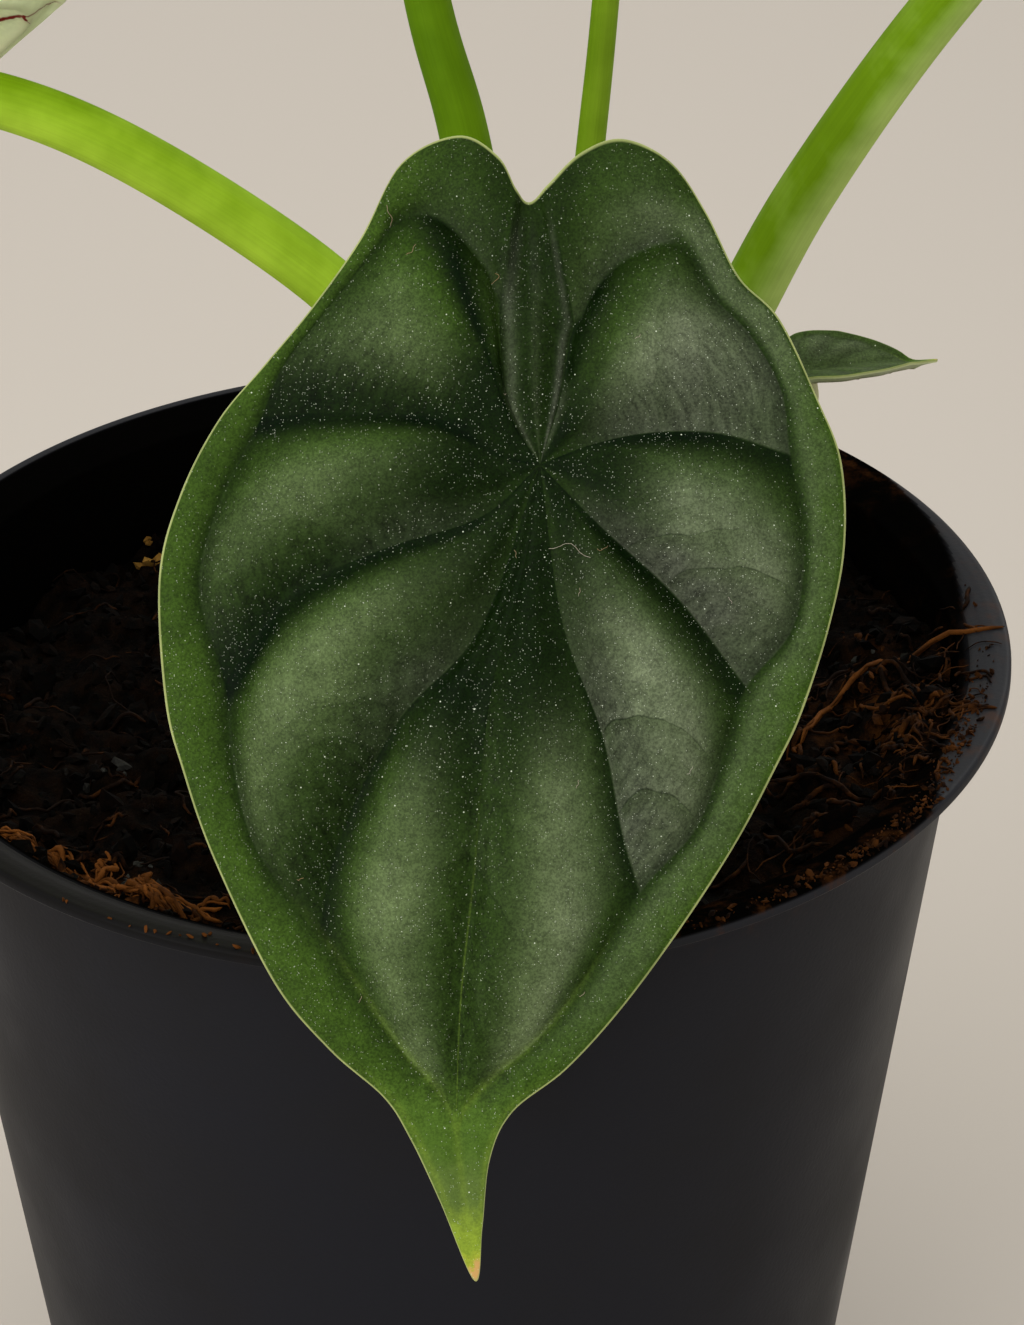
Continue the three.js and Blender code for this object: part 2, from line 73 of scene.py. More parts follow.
# The camera looks down over the rim from far away, through a long lens. Its target and its
# distance are in millimetres, the lights' aim, places and sizes in metres.
studio = {
    "target": (8.19, 0.0, 106.0),
    "distance": 800.0,
    "elevation": 31.4,
    "roll": -0.646,
    "lens": 208.98,
    "sensor": 36.0,
    "clip": (0.01, 50.0),
    "worldColour": (0.93, 0.9, 0.85),
    "worldStrength": 0.72,
    "aim": (0.0, 0.0, 0.12),
    # name, place, size, watts, colour
    "lights": [
        ("keySoftbox", (-0.3, -0.7, 1.8), 2.8, 14.5, (1.0, 0.99, 0.97)),
        ("fillSoftbox", (-1.0, -1.2, 0.25), 1.3, 11.0, (1.0, 0.98, 0.96)),
        ("rimSoftbox", (0.7, 1.3, 1.1), 1.0, 8.0, (1.0, 0.98, 0.95)),
    ],
}


# Sets an object down by its own three axes, given in the world's directions.
def placeObject(name, data, right, up, backward, place):
    made = bpy.data.objects.new(name, data)
    matrix = np.eye(4)
    matrix[:3] = np.stack([right, up, backward, place], -1)
    made.matrix_world = Matrix(matrix.tolist())
    bpy.context.scene.collection.objects.link(made)
    return made


def addCamera():
    elevation = math.radians(studio["elevation"])
    roll = math.radians(studio["roll"])
    forward = np.array([0.0, math.cos(elevation), -math.sin(elevation)])
    level = np.array([1.0, 0.0, 0.0])
    upright = np.cross(level, forward)
    right = math.cos(roll) * level + math.sin(roll) * upright
    up = math.cos(roll) * upright - math.sin(roll) * level
    place = (np.array(studio["target"]) - studio["distance"] * forward) * mm
    data = bpy.data.cameras.new("camera")
    data.lens = studio["lens"]
    data.sensor_width = studio["sensor"]
    data.clip_start, data.clip_end = studio["clip"]
    bpy.context.scene.camera = placeObject("camera", data, right, up, -forward, place)


def addLight(name, place, size, watts, colour):
    data = bpy.data.lights.new(name, "AREA")
    data.shape = "DISK"
    data.size = size
    data.energy = watts
    data.color = colour
    backward = unit(np.array(place) - np.array(studio["aim"]))
    side = unit(np.cross([0.0, 0.0, 1.0], backward))
    placeObject(name, data, side, np.cross(backward, side), backward, place)


def addWorld():
    world = bpy.data.worlds.new("studioAir")
    world.use_nodes = True
    background = world.node_tree.nodes["Background"]
    background.inputs["Color"].default_value = (*studio["worldColour"], 1.0)
    background.inputs["Strength"].default_value = studio["worldStrength"]
    bpy.context.scene.world = world
    bpy.context.scene.view_settings.view_transform = "Standard"


addCamera()
addWorld()
for light in studio["lights"]:
    addLight(*light)
print("camera and lights made")


# Node helpers. A value given to a socket is a number, a colour or another node's output.
def addNode(tree, kind, inputs, output=0, **settings):
    made = tree.nodes.new(kind)
    for key, value in settings.items():
        setattr(made, key, value)
    for key, value in inputs.items():
        socket = made.inputs[key]
        if isinstance(value, bpy.types.NodeSocket):
            tree.links.new(value, socket)
        elif socket.type == "RGBA":
            socket.default_value = (*value, 1.0)
        else:
            socket.default_value = value
    return made.outputs[output]


def attribute(tree, name, output="Fac"):
    return addNode(tree, "ShaderNodeAttribute", {}, output, attribute_name=name)


def noise(tree, scale, detail=3.0, roughness=0.55, vector=None):
    vector = vector or addNode(tree, "ShaderNodeTexCoord", {}, "Object")
    inputs = {"Vector": vector, "Scale": scale, "Detail": detail, "Roughness": roughness}
    return addNode(tree, "ShaderNodeTexNoise", inputs, "Fac")


def maths(tree, operation, first, second=0.0, clamp=False):
    inputs = {0: first, 1: second}
    return addNode(tree, "ShaderNodeMath", inputs, operation=operation, use_clamp=clamp)


def plus(tree, first, second, clamp=False):
    return maths(tree, "ADD", first, second, clamp)


def times(tree, first, *others):
    for other in others:
        first = maths(tree, "MULTIPLY", first, other)
    return first


def remap(tree, value, low, high, toLow=0.0, toHigh=1.0):
    inputs = {"Value": value, "From Min": low, "From Max": high, "To Min": toLow, "To Max": toHigh}
    return addNode(tree, "ShaderNodeMapRange", inputs, interpolation_type="SMOOTHSTEP")


# A noise made to swing between two values: most of it lies between 0.3 and 0.7.
def swing(tree, source, low, high):
    return remap(tree, source, 0.3, 0.7, low, high)


def mixColour(tree, amount, first, second, blend="MIX"):
    inputs = {0: amount, 6: first, 7: second}
    return addNode(tree, "ShaderNodeMix", inputs, 2, data_type="RGBA", blend_type=blend)


def brightened(tree, colour, gain):
    return mixColour(tree, 1.0, colour, gain, "MULTIPLY")


def bump(tree, height, strength, distance):
    return addNode(tree, "ShaderNodeBump", {"Height": height, "Strength": strength, "Distance": distance})


# Small spots: the places within a radius of the points of a Voronoi cloud, where the random
# number of the cell is below the share.
def specks(tree, scale, radius, share):
    vector = addNode(tree, "ShaderNodeTexCoord", {}, "Object")
    cloud = addNode(tree, "ShaderNodeTexVoronoi", {"Vector": vector, "Scale": scale}).node
    near = remap(tree, cloud.outputs["Distance"], radius, 0.5 * radius)
    split = addNode(tree, "ShaderNodeSeparateColor", {"Color": cloud.outputs["Color"]})
    return times(tree, near, maths(tree, "LESS_THAN", split, share))


def startMaterial(name, specular):
    material = bpy.data.materials.new(name)
    material.use_nodes = True
    tree = material.node_tree
    shader = tree.nodes["Principled BSDF"]
    shader.inputs["Specular IOR Level"].default_value = specular
    return material, tree, shader


# The roughness is a number or another node's output.
def finishMaterial(tree, shader, colour, roughness, normal=None):
    tree.links.new(colour, shader.inputs["Base Color"])
    if normal:
        tree.links.new(normal, shader.inputs["Normal"])
    if isinstance(roughness, float):
        shader.inputs["Roughness"].default_value = roughness
    else:
        tree.links.new(roughness, shader.inputs["Roughness"])


# Mesh helpers
def buildMesh(name, points, faces, material, attributes=None):
    mesh = bpy.data.meshes.new(name)
    mesh.from_pydata((points * mm).tolist(), [], faces)
    mesh.polygons.foreach_set("use_smooth", np.ones(len(faces), bool))
    for key, values in (attributes or {}).items():
        if values.ndim == 1:
            layer = mesh.attributes.new(key, "FLOAT", "POINT")
            layer.data.foreach_set("value", values.astype(np.float32))
        else:
            layer = mesh.attributes.new(key, "FLOAT_VECTOR", "POINT")
            layer.data.foreach_set("vector", values.astype(np.float32).ravel())
    mesh.materials.append(material)
    mesh.update()
    return mesh


def addPiece(name, mesh, slot, *replaced):
    piece = bpy.data.objects.new(name, mesh)
    bpy.context.scene.collection.objects.link(piece)
    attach(piece, "root")
    if replaced:
        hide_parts(*replaced)
    print(name, len(mesh.polygons), "faces")
    return piece


# Rings of points joined by quads, and closed at both ends by a fan to a pole. The poles are
# the last two points.
def ringFaces(count, around, flip=False):
    ring = np.arange(count - 1)[:, None] * around
    side = np.arange(around)
    after = (side + 1) % around
    quads = [ring + side, ring + after, ring + around + after, ring + around + side]
    quads = np.stack(quads, -1).reshape(-1, 4)
    pole = np.full(around, count * around)
    last = (count - 1) * around
    fans = np.vstack([
        np.stack([pole, after, side], -1),
        np.stack([pole + 1, last + side, last + after], -1),
    ])
    if flip:
        quads, fans = quads[:, ::-1], fans[:, ::-1]
    return quads.tolist() + fans.tolist()


def withPoles(rings):
    poles = np.array([rings[0].mean(0), rings[-1].mean(0)])
    return np.vstack([rings.reshape(-1, 3), poles])


# The faces of many copies of one shape, whose points follow each other in the mesh.
def repeatFaces(faces, size, count):
    return [[index + size * copy for index in face] for copy in range(count) for face in faces]


# Uniform Catmull-Rom: between two points runs the cubic whose slope at each end is half of
# the step from the point before it to the point after it. Places run from 0 to 1.
def splineAt(points, places, closed=False):
    points = np.asarray(points, float)
    if closed:
        spans = len(points)
        padded = np.vstack([points[-1:], points, points[:2]])
    else:
        spans = len(points) - 1
        padded = np.vstack([2 * points[0] - points[1], points, 2 * points[-1] - points[-2]])
    index = np.clip(np.floor(places * spans).astype(int), 0, spans - 1)
    t = (places * spans - index)[..., None]
    before, start, end, after = (padded[index + step] for step in range(4))
    slopeStart = 0.5 * (end - before)
    slopeEnd = 0.5 * (after - start)
    square = 3 * (end - start) - 2 * slopeStart - slopeEnd
    cube = 2 * (start - end) + slopeStart + slopeEnd
    return start + t * slopeStart + t**2 * square + t**3 * cube


# Value noise: a random number at each corner of a unit lattice, blended by the smooth step
# of the place between the corners. It runs from -1 to 1.
def latticeNoise(points, seed):
    cell = np.floor(points).astype(np.int64)
    share = points - cell
    share = share * share * (3 - 2 * share)
    total = np.zeros(points.shape[:-1])
    for corner in range(8):
        step = np.array([corner & 1, corner >> 1 & 1, corner >> 2 & 1])
        weight = np.prod(np.where(step == 1, share, 1 - share), axis=-1)
        key = ((cell + step) @ np.array([73856093, 19349663, 83492791]) + seed * 9176) & 0x7FFFFFFF
        key = ((key ^ (key >> 13)) * 1274126177) & 0x7FFFFFFF
        key = ((key ^ (key >> 15)) * 668265263) & 0x7FFFFFFF
        total += weight * ((key >> 7) & 0xFFFF) / 0xFFFF
    return 2 * total - 1


# Octaves of lattice noise, each twice as fine and half as high as the one before.
def fractalNoise(points, octaves, seed):
    total = np.zeros(points.shape[:-1])
    for octave in range(octaves):
        total += latticeNoise(points * 2**octave, seed + octave) / 2**octave
    return total


# Tubes along many paths at once. Each ring's first direction is carried from ring to ring
# and kept square to the path. Paths are (tubes, steps, 3) and radii (tubes, steps).
def tubeRings(paths, radii, sides, shape=None):
    steps = paths.shape[1]
    tangents = unit(np.gradient(paths, axis=1))
    across = np.where(np.abs(tangents[:, :1, :1]) < 0.8, [1.0, 0.0, 0.0], [0.0, 1.0, 0.0])[:, 0]
    firsts = []
    for step in range(steps):
        tangent = tangents[:, step]
        across = unit(across - (across * tangent).sum(-1, keepdims=True) * tangent)
        firsts.append(across)
    firsts = np.stack(firsts, 1)
    seconds = np.cross(tangents, firsts)
    angles = anglesRound(sides)
    size = radii[..., None] * (np.ones(sides) if shape is None else shape)
    outward = firsts[:, :, None] * np.cos(angles)[:, None] + seconds[:, :, None] * np.sin(angles)[:, None]
    return paths[:, :, None] + size[..., None] * outward, outward


# Many tubes in one mesh: the faces of one, repeated with its points.
def addTubes(name, slot, paths, radii, sides, material, tints):
    rings = tubeRings(paths, radii, sides)[0]
    count, steps = paths.shape[:2]
    points = np.concatenate([rings.reshape(count, -1, 3), paths[:, [0, -1]]], 1)
    size = points.shape[1]
    faces = repeatFaces(ringFaces(steps, sides), size, count)
    tint = np.repeat(tints, size)
    addPiece(name, buildMesh(name, points.reshape(-1, 3), faces, material, {"tint": tint}), slot)


# The floor: a wide disc that fades into the backdrop by its size alone. Its colour is painted
# brighter by the pot, against the pot's shadow, than far from it, and painted darker towards the
# right as the light falls off. In metres.
floorLook = {
    "radius": 6.0,
    "sides": 96,
    "colour": (0.535, 0.495, 0.447),
    "roughness": 0.85,
    "specular": 0.2,
    "distances": (0.06, 0.5),
    "paintedLightGains": (1.2, 0.97),
    "across": (-0.15, 0.25),
    "paintedFalloffGain": 0.9,
    "clouds": (1.3, 2.0),
    "cloudGains": (0.98, 1.02),
}


def addFloor():
    material, tree, shader = startMaterial("floorPaper", floorLook["specular"])
    place = addNode(tree, "ShaderNodeTexCoord", {}, "Object")
    reach = addNode(tree, "ShaderNodeVectorMath", {0: place}, "Value", operation="LENGTH")
    aside = addNode(tree, "ShaderNodeSeparateXYZ", {0: place}, 0)
    # painted light: brighter by the pot and darker to the right, with faint clouds
    tone = times(
        tree,
        remap(tree, reach, *floorLook["distances"], *floorLook["paintedLightGains"]),
        remap(tree, aside, *floorLook["across"], 1.0, floorLook["paintedFalloffGain"]),
        swing(tree, noise(tree, *floorLook["clouds"]), *floorLook["cloudGains"]),
    )
    finishMaterial(tree, shader, brightened(tree, floorLook["colour"], tone), floorLook["roughness"])
    points = floorLook["radius"] / mm * circlePoints(floorLook["sides"])
    mesh = buildMesh("floor", points, [list(range(floorLook["sides"]))], material)
    floor = bpy.data.objects.new("floor", mesh)
    bpy.context.scene.collection.objects.link(floor)


addFloor()
print("floor made")

# The pot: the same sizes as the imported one, with a finely rounded flange
pot = {
    "height": 108.0,
    "rimRadius": 60.0,
    "wallTopRadius": 55.6,
    "baseRadius": 39.2,
    "wall": 1.1,
    "floor": 1.6,
    "flange": 1.4,
    "rounding": 0.5,
    "footRounding": 2.0,
    "underRounding": 0.35,
    "bowlRounding": 1.2,
    # the flange's top from where it is level inwards: distances from its inner edge, and drops
    "flangeTop": 4.3,
    "slope": [(3.4, 0.0), (2.4, 0.12), (1.5, 0.4), (0.7, 0.8)],
    "innerDrop": 1.1,
    "ledgeDrop": 3.1,
    "ledgeDepth": 0.22,
    "sides": 240,
    "holeCount": 8,
    "holeRing": 27.0,
    "holeRadius": 3.5,
    "holeSides": 40,
    "colour": (0.0135, 0.0142, 0.0185),
    # a painted highlight along the flange's outer face, and the same lip in the main leaf's painted shade
    "lip": (0.02, 0.021, 0.026),
    "shadedLip": (0.006, 0.0058, 0.006),
    "scuff": (0.014, 0.014, 0.016),
    # painted black shade inside the pot and on the flange
    "inside": (0.0012, 0.0011, 0.001),
    "dust": (0.075, 0.027, 0.008),
    # the second finish, with no sheen, is for the faces painted black as shade
    "finishes": {"anthracitePlastic": 0.05, "paintedShadePlastic": 0.0},  # specular level of each
    "roughness": (0.36, 0.5),
    "bump": (0.12, 0.0002),
    # noises: scale, detail, roughness
    "cloud": (38.0, 4.0),
    "grain": (1900.0, 2.0),
    "scratches": (160.0, 5.0, 0.7),
    "speckle": (240.0, 5.0, 0.7),
    # radius outside which the flange keeps its own colour, how much less on the right where the light
    # catches it, more where it is dusty and painted dark as shade, and over what width it turns to
    # painted black shade inside that
    "litEdge": 59.2,
    "litCrescent": 3.1,
    "dustAndShadeEdge": 1.5,
    "edgeFade": 0.7,
    # azimuths between which the rim is lit, dusty and painted dark as shade, or in the main leaf's
    # painted shade
    "right": (-36, -22, 2, 30),
    "dustAndShade": [(-112, -80, -34, -18), (26, 42, 70, 100)],
    "shadedFront": (-175, -150, -110, -80),
    "shadedFrom": 55.5,
    # heights: the flange's painted highlight comes in, its underside ends, its outer face ends, dust comes
    # in
    "lipTone": (106.0, 107.6),
    "underside": 106.75,
    "outerFace": (107.8, 107.5),
    "outerRadius": (59.5, 59.8),
    "dustFrom": (98, 106),
    "dustyRadius": 58,
}


def wallRadius(height):
    return pot["baseRadius"] + (pot["wallTopRadius"] - pot["baseRadius"]) * height / pot["height"]


def insideRadius(height):
    return wallRadius(height) - pot["wall"]


def arcPoints(centre, radius, fromDegrees, toDegrees, count=5):
    angles = np.radians(np.linspace(fromDegrees, toDegrees, count))
    return [(centre[0] + radius * math.cos(a), centre[1] + radius * math.sin(a)) for a in angles]


# Straight stretches get extra points, so that the noise in the finish and the shading stay even.
def potProfile():
    height, rounding = pot["height"], pot["rounding"]
    foot, corner, bowl = pot["footRounding"], pot["underRounding"], pot["bowlRounding"]
    under = height - pot["flange"]
    ledge = under - pot["ledgeDrop"]
    profile = [(share * (wallRadius(0) - foot), 0.0) for share in (0.25, 0.5, 0.75, 1.0)]
    profile += arcPoints((wallRadius(foot) - foot, foot), foot, -80, -5)
    profile += [(wallRadius(z), z) for z in np.linspace(6, ledge - 1, 22)]
    profile += [(wallRadius(ledge), ledge), (wallRadius(ledge) + pot["ledgeDepth"], ledge + 0.3)]
    profile += [(wallRadius(under) + pot["ledgeDepth"], under - corner)]
    profile += arcPoints((wallRadius(under) + 0.55, under - corner), corner, 180, 90)
    lip = 0.5 * rounding
    profile += arcPoints((pot["rimRadius"] - lip, under + lip), lip, -90, 0)
    profile += arcPoints((pot["rimRadius"] - rounding, height - rounding), rounding, 0, 90)
    inner = insideRadius(height) + rounding
    shares, drops = np.array(pot["slope"][::-1]).T
    fine = np.linspace(pot["flangeTop"], shares[0], 16)
    profile += [(inner + share, height - drop) for share, drop in zip(fine, np.interp(fine, shares, drops))]
    profile += arcPoints((inner, height - pot["innerDrop"] - rounding), rounding, 90, 180)
    profile += [(insideRadius(z), z) for z in np.linspace(height - 3, pot["floor"] + bowl, 14)]
    profile += arcPoints((insideRadius(3) - bowl, pot["floor"] + bowl), bowl, 0, -90)
    profile += [(share * insideRadius(0), pot["floor"]) for share in (0.8, 0.55, 0.3, 0.1)]
    return np.array(profile)


# Anthracite moulded plastic: fine grain, cloudy sheen, faint scuffs, soil dust at the rim and a
# painted highlight along the flange's outer face. Inside, and on the flange away from where the
# light catches it on the right, it is painted black as shade, in a copy that has no sheen at all.
def potMaterials():
    made = []
    for name, specular in pot["finishes"].items():
        material, tree, shader = startMaterial(name, specular)
        cloud = noise(tree, *pot["cloud"])
        grain = noise(tree, *pot["grain"])
        colour = mixColour(tree, remap(tree, cloud, 0.35, 0.75), pot["colour"], pot["scuff"])
        scratches = remap(tree, noise(tree, *pot["scratches"]), 0.6, 0.72, 0.0, 0.35)
        colour = mixColour(tree, scratches, colour, pot["scuff"])
        lip = mixColour(tree, attribute(tree, "shaded"), pot["lip"], pot["shadedLip"])
        colour = mixColour(tree, attribute(tree, "lip"), colour, lip)
        colour = mixColour(tree, attribute(tree, "inside"), colour, pot["inside"])
        speckled = remap(tree, noise(tree, *pot["speckle"]), 0.48, 0.75, 0.0, 0.6)
        colour = mixColour(tree, times(tree, attribute(tree, "rimDust"), speckled), colour, pot["dust"])
        height = plus(tree, grain, times(tree, cloud, 2.0))
        normal = bump(tree, height, *pot["bump"])
        finishMaterial(tree, shader, colour, swing(tree, cloud, *pot["roughness"]), normal)
        made.append(material)
    return made


# How much of each tone the pot's points have, by their azimuth, radius and height: dust, the
# painted black shade inside, the painted highlight on the lip, and the main leaf's painted shade.
def potTones(points):
    height = points[:, 2]
    reach = np.hypot(points[:, 0], points[:, 1])
    azimuth = np.degrees(np.arctan2(points[:, 1], points[:, 0]))
    # where the light catches the flange on the right, where it is dusty and painted black as shade, and
    # where the main leaf's painted shadow falls on the rim
    right = window(azimuth, *pot["right"])
    dustAndShade = sum(window(azimuth, *limits) for limits in pot["dustAndShade"])
    shaded = window(azimuth, *pot["shadedFront"]) * (reach > pot["shadedFrom"])
    # inwards of this limit the flange and the inside are painted black as shade
    limit = pot["litEdge"] - pot["litCrescent"] * right + pot["dustAndShadeEdge"] * dustAndShade
    inside = smooth(limit, limit - pot["edgeFade"], reach) * (1 - 0.8 * shaded)
    inside = inside * ((reach < wallRadius(height) - 0.35) | (height > pot["underside"]))
    inside = inside * (1 - smooth(*pot["outerRadius"], reach) * smooth(*pot["outerFace"], height))
    dusty = smooth(*pot["dustFrom"], height) * np.maximum(dustAndShade, 0.8 * right)
    dusty = dusty * (1 - 0.6 * (reach < pot["dustyRadius"]))
    return {"rimDust": dusty, "inside": inside, "lip": smooth(*pot["lipTone"], height), "shaded": shaded}


# The mean of the points' values on each face.
def faceMeans(mesh, values):
    corners = np.empty(len(mesh.loops), np.int32)
    starts = np.empty(len(mesh.polygons), np.int32)
    sizes = np.empty(len(mesh.polygons), np.int32)
    mesh.loops.foreach_get("vertex_index", corners)
    mesh.polygons.foreach_get("loop_start", starts)
    mesh.polygons.foreach_get("loop_total", sizes)
    return np.add.reduceat(values[corners], starts) / sizes


# The drainage holes are cut by cylinders on a ring round the axis.
def addDrills(material):
    drills = []
    for angle in anglesRound(pot["holeCount"]) + math.pi / pot["holeCount"]:
        centre = pot["holeRing"] * np.array([math.cos(angle), math.sin(angle), 0])
        circle = centre + pot["holeRadius"] * circlePoints(pot["holeSides"])
        drills.append(withPoles(np.stack([circle + [0, 0, z] for z in (-2.0, 5.0)])))
    faces = repeatFaces(ringFaces(2, pot["holeSides"]), len(drills[0]), len(drills))
    made = bpy.data.objects.new("drills", buildMesh("drills", np.vstack(drills), faces, material))
    bpy.context.scene.collection.objects.link(made)
    return made


# Each ring is the profile's radius times the unit circle, at the profile's height.
def addPot():
    profile = potProfile()
    rings = profile[:, :1, None] * circlePoints(pot["sides"]) + profile[:, 1:, None] * np.array([0, 0, 1.0])
    points = withPoles(rings)
    tones = potTones(points)
    plainPlastic, shadeCopy = potMaterials()
    mesh = buildMesh("pot_shell", points, ringFaces(len(profile), pot["sides"]), plainPlastic, tones)
    mesh.materials.append(shadeCopy)
    # faces mostly in the painted black shade take the copy of the plastic with no sheen
    paintedShadeFaces = faceMeans(mesh, tones["inside"]) > 0.5
    mesh.polygons.foreach_set("material_index", paintedShadeFaces.astype(np.int32))
    shell = bpy.data.objects.new("shellBlank", mesh)
    bpy.context.scene.collection.objects.link(shell)
    drills = addDrills(plainPlastic)
    cut = shell.modifiers.new("drainage", "BOOLEAN")
    cut.operation = "DIFFERENCE"
    cut.object = drills
    cut.solver = "EXACT"
    bpy.context.view_layer.update()
    evaluated = shell.evaluated_get(bpy.context.evaluated_depsgraph_get())
    finished = bpy.data.meshes.new_from_object(evaluated)
    finished.name = "pot_shell"
    bpy.data.objects.remove(shell)
    bpy.data.objects.remove(drills)
    addPiece("pot_shell", finished, "pot_plastic", "pot")


addPot()

# Potting mix: a lumpy bed of peat, with crumbs, coir and pale grains on it
mix = {
    "meanHeight": 99.5,
    "riseToRight": 0.05,
    "riseToFront": 0.05,
    "lump": 1.1,
    "clumps": 16,
    "strands": 18,
    "seed": 7,
    "reach": 49.0,
    "clearOfCrown": 19.0,
    "wallGap": 0.3,
    "rings": 150,
    "sides": 240,
    "clumpRise": 0.45,
    "crumbHeight": 0.9,
    "crumbSize": 4.0,
    "pitDepth": 1.3,
    "pitSize": 2.2,
    "mounds": [(4.2, -14.0, 24.0, 6.5), (4.4, -133.0, 24.0, 6.5)],  # height, azimuth, spread, depth
    "peat": (0.0007, 0.0005, 0.0004),
    "peatLight": (0.0035, 0.002, 0.0013),
    "bark": (0.012, 0.004, 0.0012),
    "warm": (0.075, 0.026, 0.006),
    "warmGain": 1.3,
    "bump": (0.8, 0.0009),
    # noises: scale, detail, roughness
    "coarse": (420.0, 5.0, 0.65),
    "fine": (2100.0, 3.0, 0.6),
    "barkPatches": (90.0, 3.0),
    "barkSpots": (900.0, 4.0, 0.7),
    "warmClumps": (330.0, 4.0, 0.65),
}
rhizome = {"x": 12.0, "y": 8.0, "bottom": 84.0, "top": 101.5, "radius": 11.6}


# A plane that leans up to the right and to the front, with two waves of lumps.
def soilPlane(x, y):
    plane = mix["meanHeight"] + mix["riseToRight"] * x - mix["riseToFront"] * y
    broad = np.sin(0.11 * x + 1.3) * np.cos(0.13 * y - 0.4)
    fine = np.sin(0.31 * x - 0.27 * y) * np.cos(0.24 * x + 0.35 * y + 1.1)
    return plane + mix["lump"] * (broad + 0.7 * fine)


# The same seeded draws as the packed soil's, so that the clumps and strands lie in its places.
def drawSoilRepeats():
    state = mix["seed"]

    def random():
        nonlocal state
        state = state * 16807 % 2147483647
        return state / 2147483647

    def place():
        while True:
            angle = 2 * math.pi * random()
            radius = mix["reach"] * math.sqrt(random())
            x, y = radius * math.cos(angle), radius * math.sin(angle)
            if math.hypot(x - rhizome["x"], y - rhizome["y"]) > mix["clearOfCrown"]:
                return x, y

    clumps = []
    for clump in range(mix["clumps"]):
        x, y = place()
        size = 2 + 2 * random()
        narrow = 0.7 + 0.5 * random()
        clumps.append((x, y, size, narrow, math.pi * random()))
    strands = []
    for strand in range(mix["strands"]):
        x, y = place()
        heading = math.pi * random()
        length = 8 + 8 * random()
        strands.append((x, y, heading, length, 3 * (random() - 0.5)))
    return clumps, strands


clumps, strands = drawSoilRepeats()


# The plane with its lumps, a dome for each clump, crumb noise with pits, and heaps against
# the wall.
def soilSurface(x, y):
    base = soilPlane(x, y)
    raised = np.zeros_like(base)
    for cx, cy, size, narrow, turn in clumps:
        along = (x - cx) * math.cos(turn) + (y - cy) * math.sin(turn)
        beside = ((y - cy) * math.cos(turn) - (x - cx) * math.sin(turn)) / narrow
        dome = np.sqrt(np.clip(1 - (along**2 + beside**2) / size**2, 0, 1))
        raised = np.maximum(raised, mix["clumpRise"] * size * dome)
    places = np.stack([x, y, np.zeros_like(x)], -1)
    crumbs = mix["crumbHeight"] * fractalNoise(places / mix["crumbSize"], 4, 11)
    pits = mix["pitDepth"] * smooth(0.25, 0.8, latticeNoise(places / mix["pitSize"], 31))
    azimuth = np.degrees(np.arctan2(y, x))
    depth = np.hypot(x, y) - insideRadius(mix["meanHeight"])
    heaps = sum(height * bell(azimuth, centre, spread) * bell(depth, 0, inward)
                for height, centre, spread, inward in mix["mounds"])
    return base + raised + crumbs - pits + heaps


# Where coir shows: azimuths, distances from the axis, and how far to the front right
coirPlaces = {
    "frontRight": (5, 45),
    "backEnd": (14, -8),
    "frontEnd": (-40, -20),
    "nearWall": (38, 49),
    "patchSize": 4.5,
    "string": (-133, 14),
    "stringReach": (49, 3.6),
}


# How much coir shows on the mix: most in a string along the front left of the wall, and in
# patches towards the wall at the front right.
def mixLight(x, y):
    reach = np.hypot(x, y)
    azimuth = np.degrees(np.arctan2(y, x))
    right = smooth(*coirPlaces["frontRight"], x - 0.4 * y)
    right = right * (0.15 + 0.85 * smooth(*coirPlaces["backEnd"], azimuth))
    right = right * (0.15 + 0.85 * smooth(*coirPlaces["frontEnd"], azimuth))
    right = right * (0.25 + 0.75 * smooth(*coirPlaces["nearWall"], reach))
    spots = np.stack([x, y, 0 * x], -1) / coirPlaces["patchSize"]
    patches = smooth(-0.1, 0.6, fractalNoise(spots, 2, 61))
    string = bell(azimuth, *coirPlaces["string"]) * bell(reach, *coirPlaces["stringReach"])
    return np.clip(0.03 + 0.5 * right * (0.1 + 0.9 * patches) + 0.9 * string, 0, 1)


# Black peat with lighter clods, spots of bark in patches, and coir dust where coir shows
def soilMaterial():
    material, tree, shader = startMaterial("peatMix", 0.03)
    coarse = noise(tree, *mix["coarse"])
    colour = mixColour(tree, remap(tree, coarse, 0.42, 0.68), mix["peat"], mix["peatLight"])
    patches = remap(tree, noise(tree, *mix["barkPatches"]), 0.5, 0.72)
    spots = times(tree, patches, remap(tree, noise(tree, *mix["barkSpots"]), 0.55, 0.68))
    colour = mixColour(tree, spots, colour, mix["bark"])
    clumped = remap(tree, noise(tree, *mix["warmClumps"]), 0.42, 0.62)
    colour = mixColour(tree, times(tree, attribute(tree, "warm"), clumped), colour, mix["warm"])
    height = plus(tree, coarse, times(tree, noise(tree, *mix["fine"]), 0.5))
    finishMaterial(tree, shader, colour, 0.95, bump(tree, height, *mix["bump"]))
    return material


